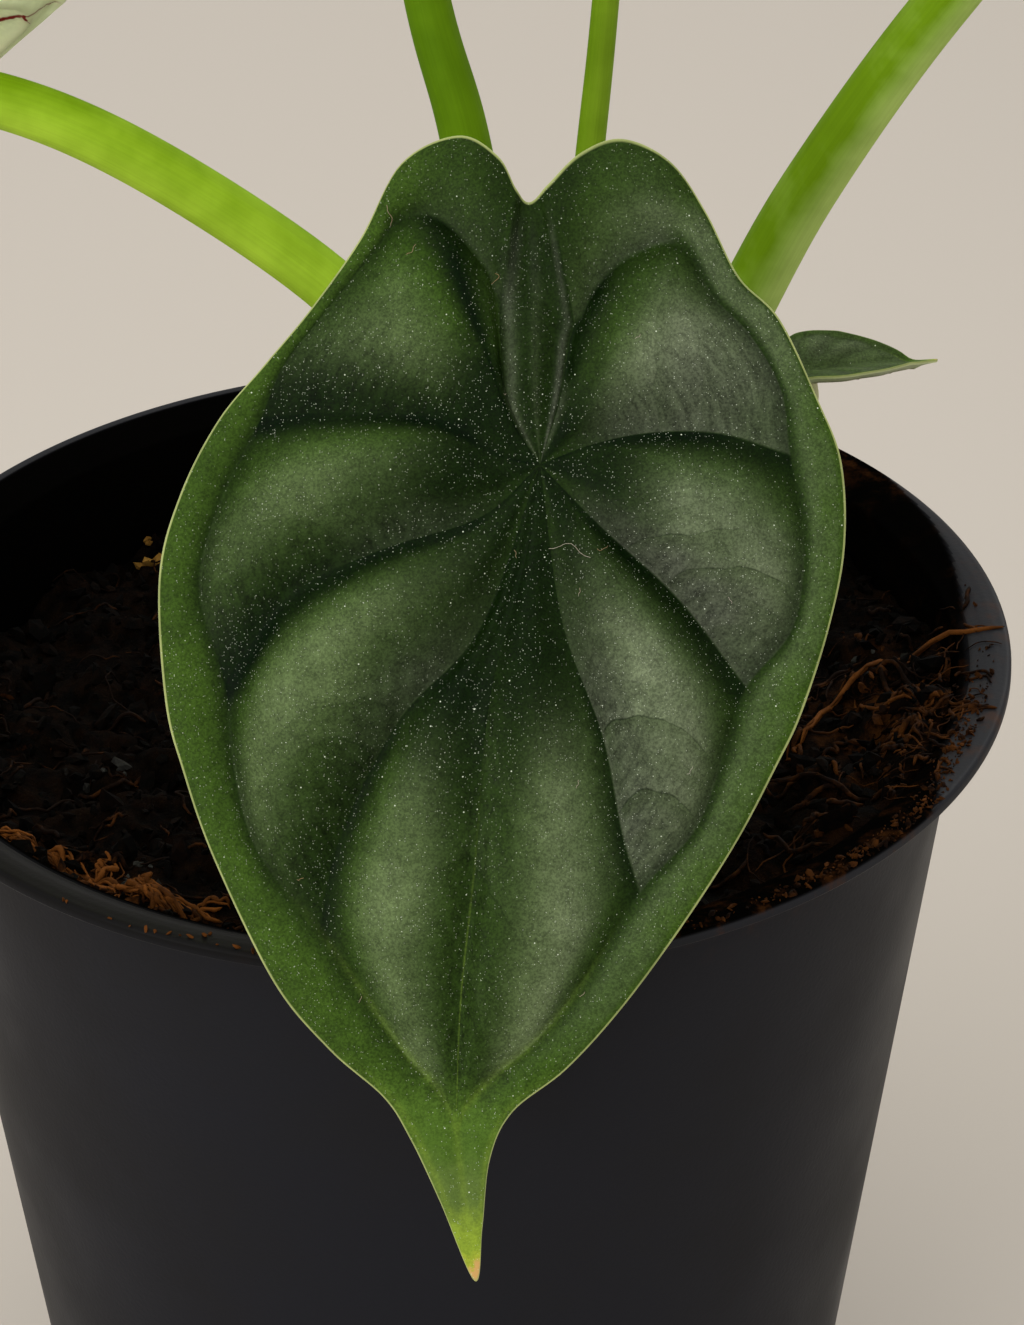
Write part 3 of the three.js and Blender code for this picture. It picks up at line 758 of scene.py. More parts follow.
# Rings from the middle out to the wall, down the wall and in under the bottom. The surface
# ends at the wall at its own height.
def addSoilBed():
    def wallRing(height):
        return (insideRadius(height) - mix["wallGap"]) * circle + height * np.array([0, 0, 1])

    circle = circlePoints(mix["sides"])
    surface = np.linspace(0.4, insideRadius(mix["meanHeight"]) - mix["wallGap"], mix["rings"])
    rings = surface[:, None, None] * circle
    rings[..., 2] = soilSurface(rings[..., 0], rings[..., 1])
    rings[-1] = wallRing(rings[-1][:, 2:])
    below = [wallRing(height) for height in (90.0, 60.0, 30.0, pot["floor"] + 0.3)]
    for share in (0.75, 0.66, 0.66):
        below.append(below[-1] * [share, share, 1])
    points = withPoles(np.concatenate([rings, below]))
    faces = ringFaces(mix["rings"] + len(below), mix["sides"], flip=True)
    warm = mix["warmGain"] * mixLight(points[:, 0], points[:, 1])
    mesh = buildMesh("soil_bed", points, faces, soilMaterial(), {"warm": warm})
    addPiece("soil_bed", mesh, "potting_mix", "soil")


# The twelve corners and twenty faces of an icosahedron.
def icosahedron():
    golden = (1 + math.sqrt(5)) / 2
    corners = []
    for a in (-1, 1):
        for b in (-golden, golden):
            corners += [(0, a, b), (a, b, 0), (b, 0, a)]
    corners = unit(corners)
    near = np.linalg.norm(corners[:, None] - corners[None], axis=-1) < 1.1
    faces = []
    for i in range(12):
        for j in range(i + 1, 12):
            for k in range(j + 1, 12):
                if near[i, j] and near[j, k] and near[i, k]:
                    middle = corners[[i, j, k]].mean(0)
                    turn = np.cross(corners[j] - corners[i], corners[k] - corners[i])
                    faces.append((i, j, k) if turn @ middle > 0 else (i, k, j))
    return corners, np.array(faces)


# Random turns, from four normal numbers taken as a unit quaternion.
def randomTurns(random, count):
    w, x, y, z = unit(random.normal(size=(count, 4))).T
    rows = [
        [1 - 2 * (y * y + z * z), 2 * (x * y - z * w), 2 * (x * z + y * w)],
        [2 * (x * y + z * w), 1 - 2 * (x * x + z * z), 2 * (y * z - x * w)],
        [2 * (x * z - y * w), 2 * (y * z + x * w), 1 - 2 * (x * x + y * y)],
    ]
    return np.array(rows).transpose(2, 0, 1)


# Broken bits lying on the ground: an icosahedron whose corners are drawn in or out,
# stretched, turned and set down at its place, raised by a share of its size.
def addCrumbs(name, look, x, y, ground, sizes, tints, flatness, material):
    random = np.random.default_rng(look["seed"])
    corners, faces = icosahedron()
    count = len(x)
    jitter = 1 + 0.28 * random.normal(size=(count, 12, 1)).clip(-1.6, 1.6)
    stretch = np.stack([1 + random.random(count), 0.7 + 0.5 * random.random(count), flatness], -1)
    shapes = corners * jitter * stretch[:, None] * sizes[:, None, None]
    shapes = np.einsum("nij,nkj->nki", randomTurns(random, count), shapes)
    places = np.stack([x, y, ground + look["lift"] * sizes], -1)
    points = (shapes + places[:, None]).reshape(-1, 3)
    allFaces = (faces[None] + 12 * np.arange(count)[:, None, None]).reshape(-1, 3)
    mesh = buildMesh(name, points, allFaces.tolist(), material, {"tint": np.repeat(tints, 12)})
    mesh.polygons.foreach_set("use_smooth", np.zeros(len(mesh.polygons), bool))
    addPiece(name, mesh, "potting_mix")


def tintMaterial(name, dark, light, roughness, scale):
    material, tree, shader = startMaterial(name, 0.05)
    shade = noise(tree, scale, 3.0, 0.6)
    amount = plus(tree, attribute(tree, "tint"), maths(tree, "SUBTRACT", shade, 0.5), clamp=True)
    colour = mixColour(tree, amount, dark, light)
    finishMaterial(tree, shader, colour, roughness, bump(tree, shade, 0.5, 0.0004))
    return material


# Numbers from least up: a random share between 0 and 1 to a power, times how much more.
# Where there is no more, nothing is drawn and all of them are the least.
def drawn(random, count, least, more=0, power=1):
    return least + more * random.random(count) ** power if more else np.full(count, least)


def scatterOnSoil(random, count, reach):
    radius = reach * np.sqrt(random.random(count))
    angle = 2 * math.pi * random.random(count)
    x, y = radius * np.cos(angle), radius * np.sin(angle)
    clear = np.hypot(x - rhizome["x"], y - rhizome["y"]) > rhizome["radius"]
    return x[clear], y[clear]


# Loose bits. Sizes, tints and flatness: the least, how much more, and the power of the share.
# Finish: the material's name, its two colours, roughness and the scale of its noise.
peatCrumbs = {
    "count": 2600,
    "reach": 52.5,
    "sizes": (0.35, 0.9, 3),
    "tints": (0, 0.2, 2),
    "flatness": (0.5, 0.3),
    "lift": 0.2,
    "seed": 22,
    "finish": ("peatCrumbs", mix["peat"], mix["bark"], 0.9, 900.0),
}
barkChips = {
    "count": 9000,
    "reach": 53.6,
    "keptGain": 1.2,
    "keptPower": 1.5,
    "palest": 0.05,
    "sizes": (0.2, 0.55, 2.5),
    "tints": (0, 0.75, 2),
    "flatness": (0.25, 0.3),
    "lift": 0.35,
    "seed": 23,
    "finish": ("barkChips", (0.005, 0.0017, 0.0006), (0.2, 0.066, 0.0125), 0.85, 700.0),
}
paleGrains = {
    "count": 30,
    "spots": [
        (49, 6), (47, 7), (45, 5), (-34, -8), (-36, -10), (-40, -18), (-31, -30), (40, -19), (-28, -33),
    ],
    "spread": 2.2,
    "sizes": (0.25, 0.5, 2),
    "tints": (0, 1),
    "flatness": (0.8,),
    "lift": 0.3,
    "seed": 24,
    "finish": ("paleGrains", mix["peatLight"], (0.036, 0.037, 0.035), 0.8, 1200.0),
}
ochreBits = {
    # x, y, size, tint
    "spots": [
        (-31.6, 42.0, 0.35, 0.5), (-31.6, 41.6, 0.3, 0.4), (-31.3, 38.4, 0.65, 0.75),
        (-32.0, 38.2, 0.6, 0.6), (-30.5, 38.7, 0.6, 0.7), (-31.2, 38.9, 0.55, 0.5),
    ],
    "spread": 0.15,
    "flatness": 0.9,
    "lift": 0.4,
    "seed": 25,
    "finish": ("ochreBits", (0.05, 0.018, 0.003), (0.32, 0.17, 0.035), 0.8, 900.0),
}


def layBits(random, name, look, x, y, tintGain=1.0):
    sizes = drawn(random, len(x), *look["sizes"])
    tints = look.get("palest", 0.0) + tintGain * drawn(random, len(x), *look["tints"])
    flatness = drawn(random, len(x), *look["flatness"])
    material = tintMaterial(*look["finish"])
    addCrumbs(name, look, x, y, soilSurface(x, y), sizes, tints, flatness, material)


def addSoilBits():
    random = np.random.default_rng(21)
    x, y = scatterOnSoil(random, peatCrumbs["count"], peatCrumbs["reach"])
    layBits(random, "peat_crumbs", peatCrumbs, x, y)

    # chips of bark and coir pith, more of them where coir shows
    x, y = scatterOnSoil(random, barkChips["count"], barkChips["reach"])
    kept = barkChips["keptGain"] * mixLight(x, y) ** barkChips["keptPower"]
    keep = random.random(len(x)) < kept
    x, y = x[keep], y[keep]
    layBits(random, "bark_chips", barkChips, x, y, mixLight(x, y))

    # pale grains of perlite and grit, in the places where the photo shows a few
    spots, count = np.array(paleGrains["spots"]), paleGrains["count"]
    chosen = spots[random.integers(0, len(spots), count)]
    x, y = (chosen + random.normal(size=(count, 2)) * paleGrains["spread"]).T
    layBits(random, "pale_grains", paleGrains, x, y)

    # ochre bits at the back left
    look = ochreBits
    x, y, sizes, tints = np.array(look["spots"]).T
    asideX, asideY = random.normal(size=(len(x), 2)).T * look["spread"]
    x, y = x + asideX, y + asideY
    material = tintMaterial(*look["finish"])
    flatness = np.full(len(x), look["flatness"])
    addCrumbs("ochre_bits", look, x, y, soilSurface(x, y), sizes, tints, flatness, material)


# Coir: fine loose fibres, and a tangle of thicker ones
coir = {
    "reach": 53.6,
    "wander": 0.22,
    "raised": 0.25,
    "seed": 33,
    "count": 360,
    "spread": 51.0,
    "lengths": (2.5, 8, 2.5),
    "bow": 0.16,
    "lifts": (0.1, 0.5, 2),
    "thickness": (0.08, 0.22, 2),
    "taper": (1.05, 0.75),
    "tints": (0.05, 0.75, 2),
    # bundles along the lines of the tangle: x, y, heading, length, bow, lift, fibres
    "bundles": [
        (-41.8, -25.6, 2.45, 7.5, 0.3, 1.0, 22), (-37.4, -29.8, 2.4, 10.0, 0.2, 0.8, 10),
        (-33.2, -34.0, 2.4, 10.0, -0.2, 0.7, 9), (-33.4, -30.6, 1.35, 4.0, 0.2, 1.3, 7),
        (-29.6, -36.6, 2.3, 7.5, 0.5, 1.3, 24), (-27.0, -39.8, 2.2, 6.5, 0.3, 1.1, 15),
        (-28.6, -38.8, 1.9, 3.5, 0.2, 0.5, 5), (-23.0, -38.6, 2.8, 7.0, 0.3, 0.6, 5),
        (-21.6, -44.0, 2.6, 9.0, 0.3, 0.5, 6), (50.5, -8.0, 1.9, 6.0, 0.5, 0.9, 8),
        (50.0, -15.0, 1.6, 6.0, 0.4, 0.9, 9), (37.0, -12.0, 1.2, 5.0, 0.4, 0.6, 3),
    ],
    "bundleSpread": 0.6,
    "bundleLengths": (0.45, 0.6),
    "bundleThickness": (0.1, 0.25, 2),
    "bundleTints": (0.25, 0.6),
    "bundleTaper": (1.02, 0.85),
    "packedThickness": 0.26,
    "packedLift": 0.4,
    "packedTint": 0.04,
    "rightTint": 0.28,
}


# The two coordinates of paths that run a length along a heading and wander aside from it.
def headedPaths(x, y, heading, along, aside):
    cosine, sine = np.cos(heading)[:, None], np.sin(heading)[:, None]
    return x[:, None] + along * cosine - aside * sine, y[:, None] + along * sine + aside * cosine


# Draws in the points that lie further out than the reach.
def heldIn(x, y, reach):
    limit = np.minimum(1, reach / np.hypot(x, y))
    return x * limit, y * limit


# A strand of coir bows and wanders round a straight line: along it by its length, aside by
# its bow times one less the squared share, and up by its lift in the same way.
def strandPaths(random, x, y, heading, length, bow, lift, steps):
    share = np.linspace(-1, 1, steps)
    arch = 1 - share**2
    wander = coir["wander"] * random.normal(size=(len(x), 3))
    aside = bow[:, None] * arch + wander[:, :1] * np.sin(3 * share) + wander[:, 1:2] * np.sin(7 * share + 1)
    x, y = headedPaths(x, y, heading, 0.5 * length[:, None] * share, aside)
    x, y = heldIn(x, y, coir["reach"])
    up = lift[:, None] * arch + 0.3 * wander[:, 2:] * np.sin(5 * share)
    return np.stack([x, y, soilSurface(x, y) + coir["raised"] + np.abs(up)], -1)


def tapered(thickness, share, full, less):
    return thickness[:, None] * (full - less * share**6)


def addCoir(random, material):
    count = coir["count"]
    x, y = scatterOnSoil(random, 4 * count, coir["spread"])
    order = np.argsort(random.random(len(x)) ** (1 / mixLight(x, y)))[-count:]
    x, y = x[order], y[order]
    heading = math.pi * random.random(count)
    length = drawn(random, count, *coir["lengths"])
    bow = coir["bow"] * length * random.normal(size=count)
    lift = drawn(random, count, *coir["lifts"])
    paths = strandPaths(random, x, y, heading, length, bow, lift, 14)
    share = np.linspace(-1, 1, paths.shape[1])
    radii = tapered(drawn(random, count, *coir["thickness"]), share, *coir["taper"])
    tints = drawn(random, count, *coir["tints"]) * mixLight(x, y)
    addTubes("coir_strands", "potting_mix", paths, radii, 5, material, tints)


# The thicker strands of the packed soil, and bundles of fibres along the lines of the tangle
# that the photo shows.
def addTangle(random, material):
    bundles = np.array(coir["bundles"])
    lines = np.repeat(bundles[:, :6], bundles[:, 6].astype(int), axis=0)
    count = len(lines)
    lines[:, :2] += coir["bundleSpread"] * random.normal(size=(count, 2))
    lines[:, 2] += 0.2 * random.normal(size=count)
    lines[:, 3] *= drawn(random, count, *coir["bundleLengths"])
    lines[:, 4] += 0.4 * random.normal(size=count)
    lines[:, 5] *= random.random(count)
    own = np.array([(*strand, coir["packedLift"]) for strand in strands])
    x, y, heading, length, bow, lift = np.vstack([own, lines]).T
    drawnThickness = drawn(random, count, *coir["bundleThickness"])
    thickness = np.concatenate([np.full(len(own), coir["packedThickness"]), drawnThickness])
    paths = strandPaths(random, x, y, heading, length, bow, lift, 18)
    share = np.linspace(-1, 1, paths.shape[1])
    wobble = 1 + 0.18 * np.sin(9 * share + x[:, None])
    radii = tapered(thickness, share, *coir["bundleTaper"]) * wobble
    tints = drawn(random, count, *coir["bundleTints"]) * np.where(lines[:, 0] < 0, 1, coir["rightTint"])
    tints = np.concatenate([np.full(len(own), coir["packedTint"]), tints])
    addTubes("coir_tangle", "potting_mix", paths, radii, 6, material, tints)


# The height of the flange's top at a distance from the pot's axis.
def flangeHeight(reach):
    slope = [(0.0, pot["innerDrop"]), *reversed(pot["slope"])]
    inner = insideRadius(pot["height"]) + pot["rounding"]
    places = [inner + share for share, drop in slope]
    return np.interp(reach, places, [pot["height"] - drop for share, drop in slope])


# Coir spilled over the rim on the right
spill = {
    "seed": 51,
    "count": 150,
    "azimuth": (-15, 9),
    "reach": (49, 9, 1.5),
    "lengths": (0.8, 4, 2),
    "bow": 0.3,
    "thickness": (0.06, 0.2, 2),
    "taper": (1.02, 0.7),
    "tints": (0.02, 0.26, 2),
    "outermost": 59.6,
    "onFlange": 55.3,
    "climb": (50.0, 55.6),
    # the long fibre from the flange in over the mix, with two thinner ones beside it
    "longFibre": [
        (59.4, 2.5), (57.0, 2.4), (54.3, 3.3), (50.8, 3.4), (47.3, 2.4), (44.7, 0.4), (41.0, -4.0),
        (38.9, -8.5), (37.7, -11.6),
    ],
    "longBeside": (0.0, -1.0, 0.8),
    "longThickness": (0.3, 0.16, 0.18),
    "longTints": (0.5, 0.35, 0.45),
    "longLift": 0.7,
    "longLiftFrom": (55.6, 52.0),
}


# Fibres that bridge from the mix to the flange: their ends follow the ground, and between
# the two they rise by the smooth step.
def addSpill(random, material):
    count = spill["count"]
    middle, spread = spill["azimuth"]
    azimuth = np.radians(middle + spread * random.normal(size=count))
    reach = drawn(random, count, *spill["reach"])
    heading = math.pi * random.random(count)
    length = drawn(random, count, *spill["lengths"])
    share = np.linspace(-0.5, 0.5, 16)
    bow = spill["bow"] * length * random.normal(size=count)
    aside = bow[:, None] * (0.25 - share**2) + 0.12 * random.normal(size=(count, 1)) * np.sin(9 * share)
    x, y = reach * np.cos(azimuth), reach * np.sin(azimuth)
    x, y = headedPaths(x, y, heading, length[:, None] * share, aside)
    line = splineAt(spill["longFibre"], share + 0.5)
    beside = 0.35 * np.array(spill["longBeside"])[:, None] * (1 + np.sin(4 * share))
    x = np.vstack([x, line[:, 0] + 0.6 * beside])
    y = np.vstack([y, line[:, 1] + beside])
    x, y = heldIn(x, y, spill["outermost"])
    ground = np.hypot(x, y)
    onMix = soilSurface(x, y)
    ridge = flangeHeight(ground)
    bridge = np.maximum(onMix, onMix + (ridge - onMix) * smooth(*spill["climb"], ground))
    rise = np.where(ground > spill["onFlange"], ridge, bridge) + 0.15
    rise[-3:] += spill["longLift"] * smooth(*spill["longLiftFrom"], ground[-3:])
    paths = np.stack([x, y, rise], -1)
    thickness = np.concatenate([drawn(random, count, *spill["thickness"]), spill["longThickness"]])
    radii = tapered(thickness, 2 * share, *spill["taper"])
    tints = np.concatenate([drawn(random, count, *spill["tints"]), spill["longTints"]])
    addTubes("coir_spill", "potting_mix", paths, radii, 5, material, tints)


# Crumbs on the flange: single ones along its front left, then groups over its right side
rimCrumbs = {
    "seed": 52,
    "lift": 0.3,
    # x, y, size
    "single": [
        (-36.3, -47.3, 0.22), (-36.0, -47.6, 0.16), (-31.6, -50.7, 0.2), (-28.0, -52.8, 0.24),
        (-27.1, -53.1, 0.18), (-25.7, -53.5, 0.22), (-23.6, -54.2, 0.3), (-22.2, -54.0, 0.35),
        (-21.7, -53.6, 0.3), (-18.9, -56.2, 0.3), (-17.4, -56.9, 0.28), (-16.8, -57.0, 0.25),
        (-20.9, -55.6, 0.18), (-24.6, -53.9, 0.15), (-29.6, -52.1, 0.14),
    ],
    "groups": [(-36, 15, 360), (-16, 8, 110)],  # azimuth, spread, count
    "inner": (55.4, 2.0),
    "innerFrom": (-18, -40),
    "outer": (59.7, -1.5),
    "outerFrom": (-32, -22),
    "sizes": (0.1, 0.28, 3),
    "tints": (0.08, 0.2, 2),
    "singleTints": (0.25, 0.35),
    "flatness": (0.4, 0.3),
}


def addRimCrumbs(random, material):
    look = rimCrumbs
    single = np.array(look["single"])
    azimuth = np.concatenate([
        middle + spread * random.normal(size=count) for middle, spread, count in look["groups"]])
    inner = look["inner"][0] + look["inner"][1] * smooth(*look["innerFrom"], azimuth)
    outer = look["outer"][0] + look["outer"][1] * smooth(*look["outerFrom"], azimuth)
    reach = inner + (outer - inner) * random.random(len(azimuth)) ** 0.8
    turn = np.radians(azimuth)
    x = np.concatenate([single[:, 0], reach * np.cos(turn)])
    y = np.concatenate([single[:, 1], reach * np.sin(turn)])
    sizes = np.concatenate([single[:, 2], drawn(random, len(azimuth), *look["sizes"])])
    tints = drawn(random, len(x), *look["tints"])
    tints[:len(single)] = drawn(random, len(single), *look["singleTints"])
    flat = drawn(random, len(x), *look["flatness"])
    addCrumbs("rim_crumbs", look, x, y, flangeHeight(np.hypot(x, y)), sizes, tints, flat, material)


addSoilBed()
addSoilBits()
# The strands have the colours of the bark chips.
coirMaterial = tintMaterial("coirStrands", *barkChips["finish"][1:3], 0.75, 500.0)
coirRandom = np.random.default_rng(coir["seed"])
addCoir(coirRandom, coirMaterial)
addTangle(coirRandom, coirMaterial)
spillRandom = np.random.default_rng(spill["seed"])
addSpill(spillRandom, coirMaterial)
addRimCrumbs(spillRandom, coirMaterial)

# The rhizome: a short scaly stem
rhizomeLook = {
    "rings": 60,
    "sides": 96,
    "foot": 0.5,
    "scarDepth": 0.35,
    "scarPitch": 1.6,
    "roughness": 0.45,
    "dark": (0.035, 0.02, 0.012),
    "light": (0.13, 0.08, 0.042),
    "skin": (500.0, 5.0, 0.65),
    "bump": (0.8, 0.0006),
}


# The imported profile, with a ripple of leaf scars up the side and a rough skin.
def addRhizome():
    bottom, top, radius = rhizome["bottom"], rhizome["top"], rhizome["radius"]
    rise = top - bottom
    foot = rhizomeLook["foot"]
    profile = np.array([
        (foot, bottom), (0.55 * radius, bottom), (radius - 1, bottom + 0.35 * rise),
        (radius, bottom + 0.75 * rise), (0.93 * radius, top - 0.4), (0.6 * radius, top), (foot, top - 0.3),
    ])
    line = splineAt(profile, np.linspace(0, 1, rhizomeLook["rings"]))
    reach, height = line[:, :1], line[:, 1:]
    circle = circlePoints(rhizomeLook["sides"])
    scars = rhizomeLook["scarDepth"] * np.abs(np.sin(rhizomeLook["scarPitch"] * height))
    scars = scars * smooth(3, 9, reach)
    spot = reach[..., None] * circle + height[..., None] * np.array([0, 0, 1])
    rough = rhizomeLook["roughness"] * fractalNoise(spot / 2.6, 3, 5)
    size = np.maximum(reach - scars + rough, 0.3)
    rings = size[..., None] * circle + [rhizome["x"], rhizome["y"], 0]
    rings[..., 2] = height + 0.5 * rough * (height > top - 2)
    material, tree, shader = startMaterial("rhizomeSkin", 0.2)
    coarse = noise(tree, *rhizomeLook["skin"])
    colour = mixColour(tree, remap(tree, coarse, 0.35, 0.7), rhizomeLook["dark"], rhizomeLook["light"])
    finishMaterial(tree, shader, colour, 0.85, bump(tree, coarse, *rhizomeLook["bump"]))
    faces = ringFaces(len(rings), rhizomeLook["sides"])
    mesh = buildMesh("rhizome_stem", withPoles(rings), faces, material)
    addPiece("rhizome_stem", mesh, "rhizome_skin", "rhizome")


addRhizome()

# The flat blade. Its petiole joins it at 0, 0, the back lobes point to +y and the drip tip
# to -y. Each row is a station on the way round: the edge's x and y, then the collective
# vein's. Each main vein runs from the petiole through its points to its station.
blade = {
    "stations": np.array([
        [-3.0, 24.9, -2.1, 16.2], [-4.4, 26.0, -5.2, 15.5], [-6.4, 29.0, -6.9, 18.5],
        [-10.4, 30.7, -11.4, 22.6], [-15.6, 27.7, -15.2, 22.5], [-18.9, 20.2, -17.5, 19.2],
        [-23.0, 13.3, -21.7, 13.1], [-27.1, 7.5, -25.4, 7.4], [-31.1, 1.8, -27.0, 2.4],
        [-34.2, -5.7, -30.2, -5.7], [-35.6, -13.9, -31.7, -14.5], [-34.1, -25.6, -28.5, -23.6],
        [-31.9, -32.3, -27.1, -31.2], [-28.3, -40.6, -24.2, -39.5], [-21.6, -52.1, -17.6, -46.8],
        [-15.8, -58.2, -13.5, -52.0], [-10.2, -62.6, -8.5, -58.1], [-7.3, -66.7, -5.2, -61.4],
        [-4.0, -72.8, -3.8, -63.7], [0.0, -80.8, -3.0, -65.5], [0.3, -75.1, -2.4, -63.6],
        [0.5, -68.0, -1.5, -62.1], [2.3, -63.0, 0.4, -59.6], [7.1, -58.3, 4.0, -55.8],
        [11.9, -51.9, 7.9, -50.0], [17.0, -43.5, 12.9, -40.2], [21.6, -34.9, 17.7, -33.7],
        [24.9, -27.1, 20.0, -25.4], [26.9, -21.7, 21.4, -19.6], [28.9, -13.1, 25.4, -13.7],
        [29.7, -5.3, 25.8, -5.1], [28.7, 2.7, 23.7, 3.1], [25.9, 8.6, 22.4, 9.1],
        [21.7, 15.8, 19.1, 14.0], [17.5, 19.5, 15.2, 17.5], [13.9, 25.4, 12.6, 21.4],
        [10.2, 29.8, 10.0, 22.0], [5.4, 31.6, 6.3, 19.9], [1.5, 29.9, 3.9, 16.9],
        [-1.4, 26.6, 2.2, 13.7],
    ]),
    # station, points on the way, crest near this vein, sharpness of the fold at this vein
    "veins": [
        (1, [(-3.6, 6.0), (-4.8, 11.7)], True, 0.3),
        (8, [(-3.9, 0.7), (-9.9, 3.5), (-18.6, 3.5)], True, 0.05),
        (11, [(-5.3, -5.5), (-14.7, -9.5), (-22.9, -14.6)], True, 0.35),
        (14, [(-4.5, -16.2), (-11.5, -25.7), (-16.3, -37.6)], True, 0.85),
        (19, [(-0.7, -9.2), (-3.0, -22.9), (-3.2, -39.5), (-3.5, -52.4)], False, 0.0),
        (25, [(3.3, -14.7), (8.1, -25.4), (10.7, -34.4)], False, 1.0),
        (28, [(6.2, -5.3), (14.4, -11.8)], False, 1.0),
        (31, [(4.6, 2.3), (10.3, 4.0), (17.0, 4.5)], False, 0.9),
        (39, [(1.4, 6.4), (1.8, 11.7)], False, 0.3),
    ],
    # For the panel after each vein: the shares of the way out between which its tones open;
    # the share of the way across where it is brightest, and how far that fades before and
    # after; its dark fold's middle, width and strength, dark green with painted shade; then how much
    # silver with painted sheen, fresh green, grey slope of painted reflection, and painted shade at
    # its far side it has.
    "panels": [
        (0.4, 0.75, 0.68, 0.2, 0.2, 0.28, 0.11, 0.95, 0.46, 1.15, 0.0, 0.9),
        (0.3, 0.7, 0.4, 0.24, 0.33, 0.04, 0.1, 1.0, 0.38, 0.9, 0.5, 0.85),
        (0.08, 0.65, 0.36, 0.2, 0.27, 0.04, 0.09, 0.95, 0.66, 0.7, 0.6, 0.65),
        (0.38, 0.68, 0.3, 0.16, 0.22, 0.0, 0.08, 0.85, 0.64, 0.6, 0.0, 0.3),
        (0.28, 0.6, 0.24, 0.15, 0.18, 0.0, 0.06, 0.85, 0.9, 0.5, 0.0, 0.3),
        (0.08, 0.62, 0.5, 0.24, 0.4, 0.04, 0.15, 0.9, 0.95, 0.5, 0.75, 0.0),
        (0.28, 0.62, 0.45, 0.24, 0.45, 0.04, 0.13, 0.95, 0.66, 0.75, 1.0, 0.0),
        (0.2, 0.65, 0.66, 0.18, 0.26, 0.13, 0.16, 0.9, 0.88, 0.7, 0.75, 0.0),
        (0.0, 1.0, 0.5, 1.0, 1.0, 0.5, 0.1, 0.0, 0.0, 0.0, 0.0, 0.0),
    ],
    # Wrinkles run round the far corner of each panel, where its fold meets the collective
    # vein. For each: how wide their ellipse is to its height, then radius and strength.
    "wrinkles": [
        (1.15, [(0.62, 0.15), (0.36, 0.2)]), (1.15, [(0.62, 0.2), (0.43, 0.22), (0.27, 0.15)]),
        (1.15, [(0.66, 0.25), (0.5, 0.3), (0.42, 0.35), (0.25, 0.2)]), (1.9, [(0.58, 0.2), (0.42, 0.2)]),
        (1.9, [(0.53, 0.2), (0.41, 0.32), (0.24, 0.2)]),
        (1.15, [(0.69, 0.3), (0.59, 0.2), (0.5, 1.0), (0.42, 0.3), (0.31, 0.9), (0.2, 0.25)]),
        (1.15, [(0.72, 0.3), (0.63, 0.3), (0.54, 0.6), (0.4, 0.65), (0.3, 0.25), (0.2, 0.3)]),
        (1.15, [(0.6, 0.2), (0.46, 0.35), (0.3, 0.2)]), (1.15, [(0.5, 0.0)]),
    ],
    "pullPowers": (2.0, 1.0, 1.0, 2.0, 1.0, 1.0, 1.0, 2.0, 1.0),
    "wrinkleHeight": 0.16,
    "wrinkleFall": 1.3,
    "wrinkleAcross": (0.3, 0.55, 0.97, 1.0),
    "wrinkleAlong": (0.2, 0.4, 0.9, 1.0),
    "wrinkleSway": 0.012,
    "panelLength": 34.0,
    "pleatHeight": 0.05,
    "pleatTurns": (64, 5),
    "pleatAcross": (0.6, 0.85, 0.95, 1.0),
    "pleatAlong": (0.3, 0.5, 0.9, 1.0),
    # ridges of the strip between the lobes: place across, width, height
    "stripRidges": [(0.17, 0.13, 0.22), (0.56, 0.08, 0.12), (0.91, 0.05, 0.2)],
    "quilt": 0.2,
    "crestSkew": 0.8,
    "crestPower": 2.2,
    "fallPower": 4,
    "band": 0.22,
    "bandTurn": 2.4,
    "bandStart": 0.06,
    "bandBulge": 0.14,
    "widestBand": 9,
    "tipStart": -60,
    "tipEnd": -68,
    "tipShare": 0.25,
    "thickness": 0.8,
    "edgeThickness": 0.34,
    "ribDepth": 0.8,
    # ribs: height and width, of the main veins, of the collective vein and of the lobes' veins
    "ribs": [(1.0, 0.9), (0.16, 0.8), (0.25, 0.45)],
    "panelReach": 30,
    "valleyStart": 1.4,
    "nearJoint": 4.0,
    "softValley": 3.2,
    "sharpValley": 0.12,
    "valleyLift": (0.0, 0.8, 0.6, 0.15, 1.6, 0.0, 0.0, 0.0, 0.0),
    # veins of the two back lobes, seen as dark red lines from below, then their forks
    "lobeVeins": [
        (
            [(-3.6, 6.0), (-8.0, 12.0), (-12.2, 15.6), (-14.0, 18.6), (-13.9, 21.2), (-13.5, 22.8),
             (-14.9, 24.5), (-16.5, 26.1)],
            [(1.4, 6.4), (5.0, 12.0), (8.6, 18.0), (9.6, 23.0), (9.0, 29.0)],
        ),
        (
            [(-13.4, 22.6), (-14.2, 22.5), (-14.9, 22.6)],
            [(8.0, 17.0), (12.0, 20.5), (14.6, 22.5)],
        ),
    ],
    "lobeVeinSteps": 24,
    "betweenLobes": -1.5,
}

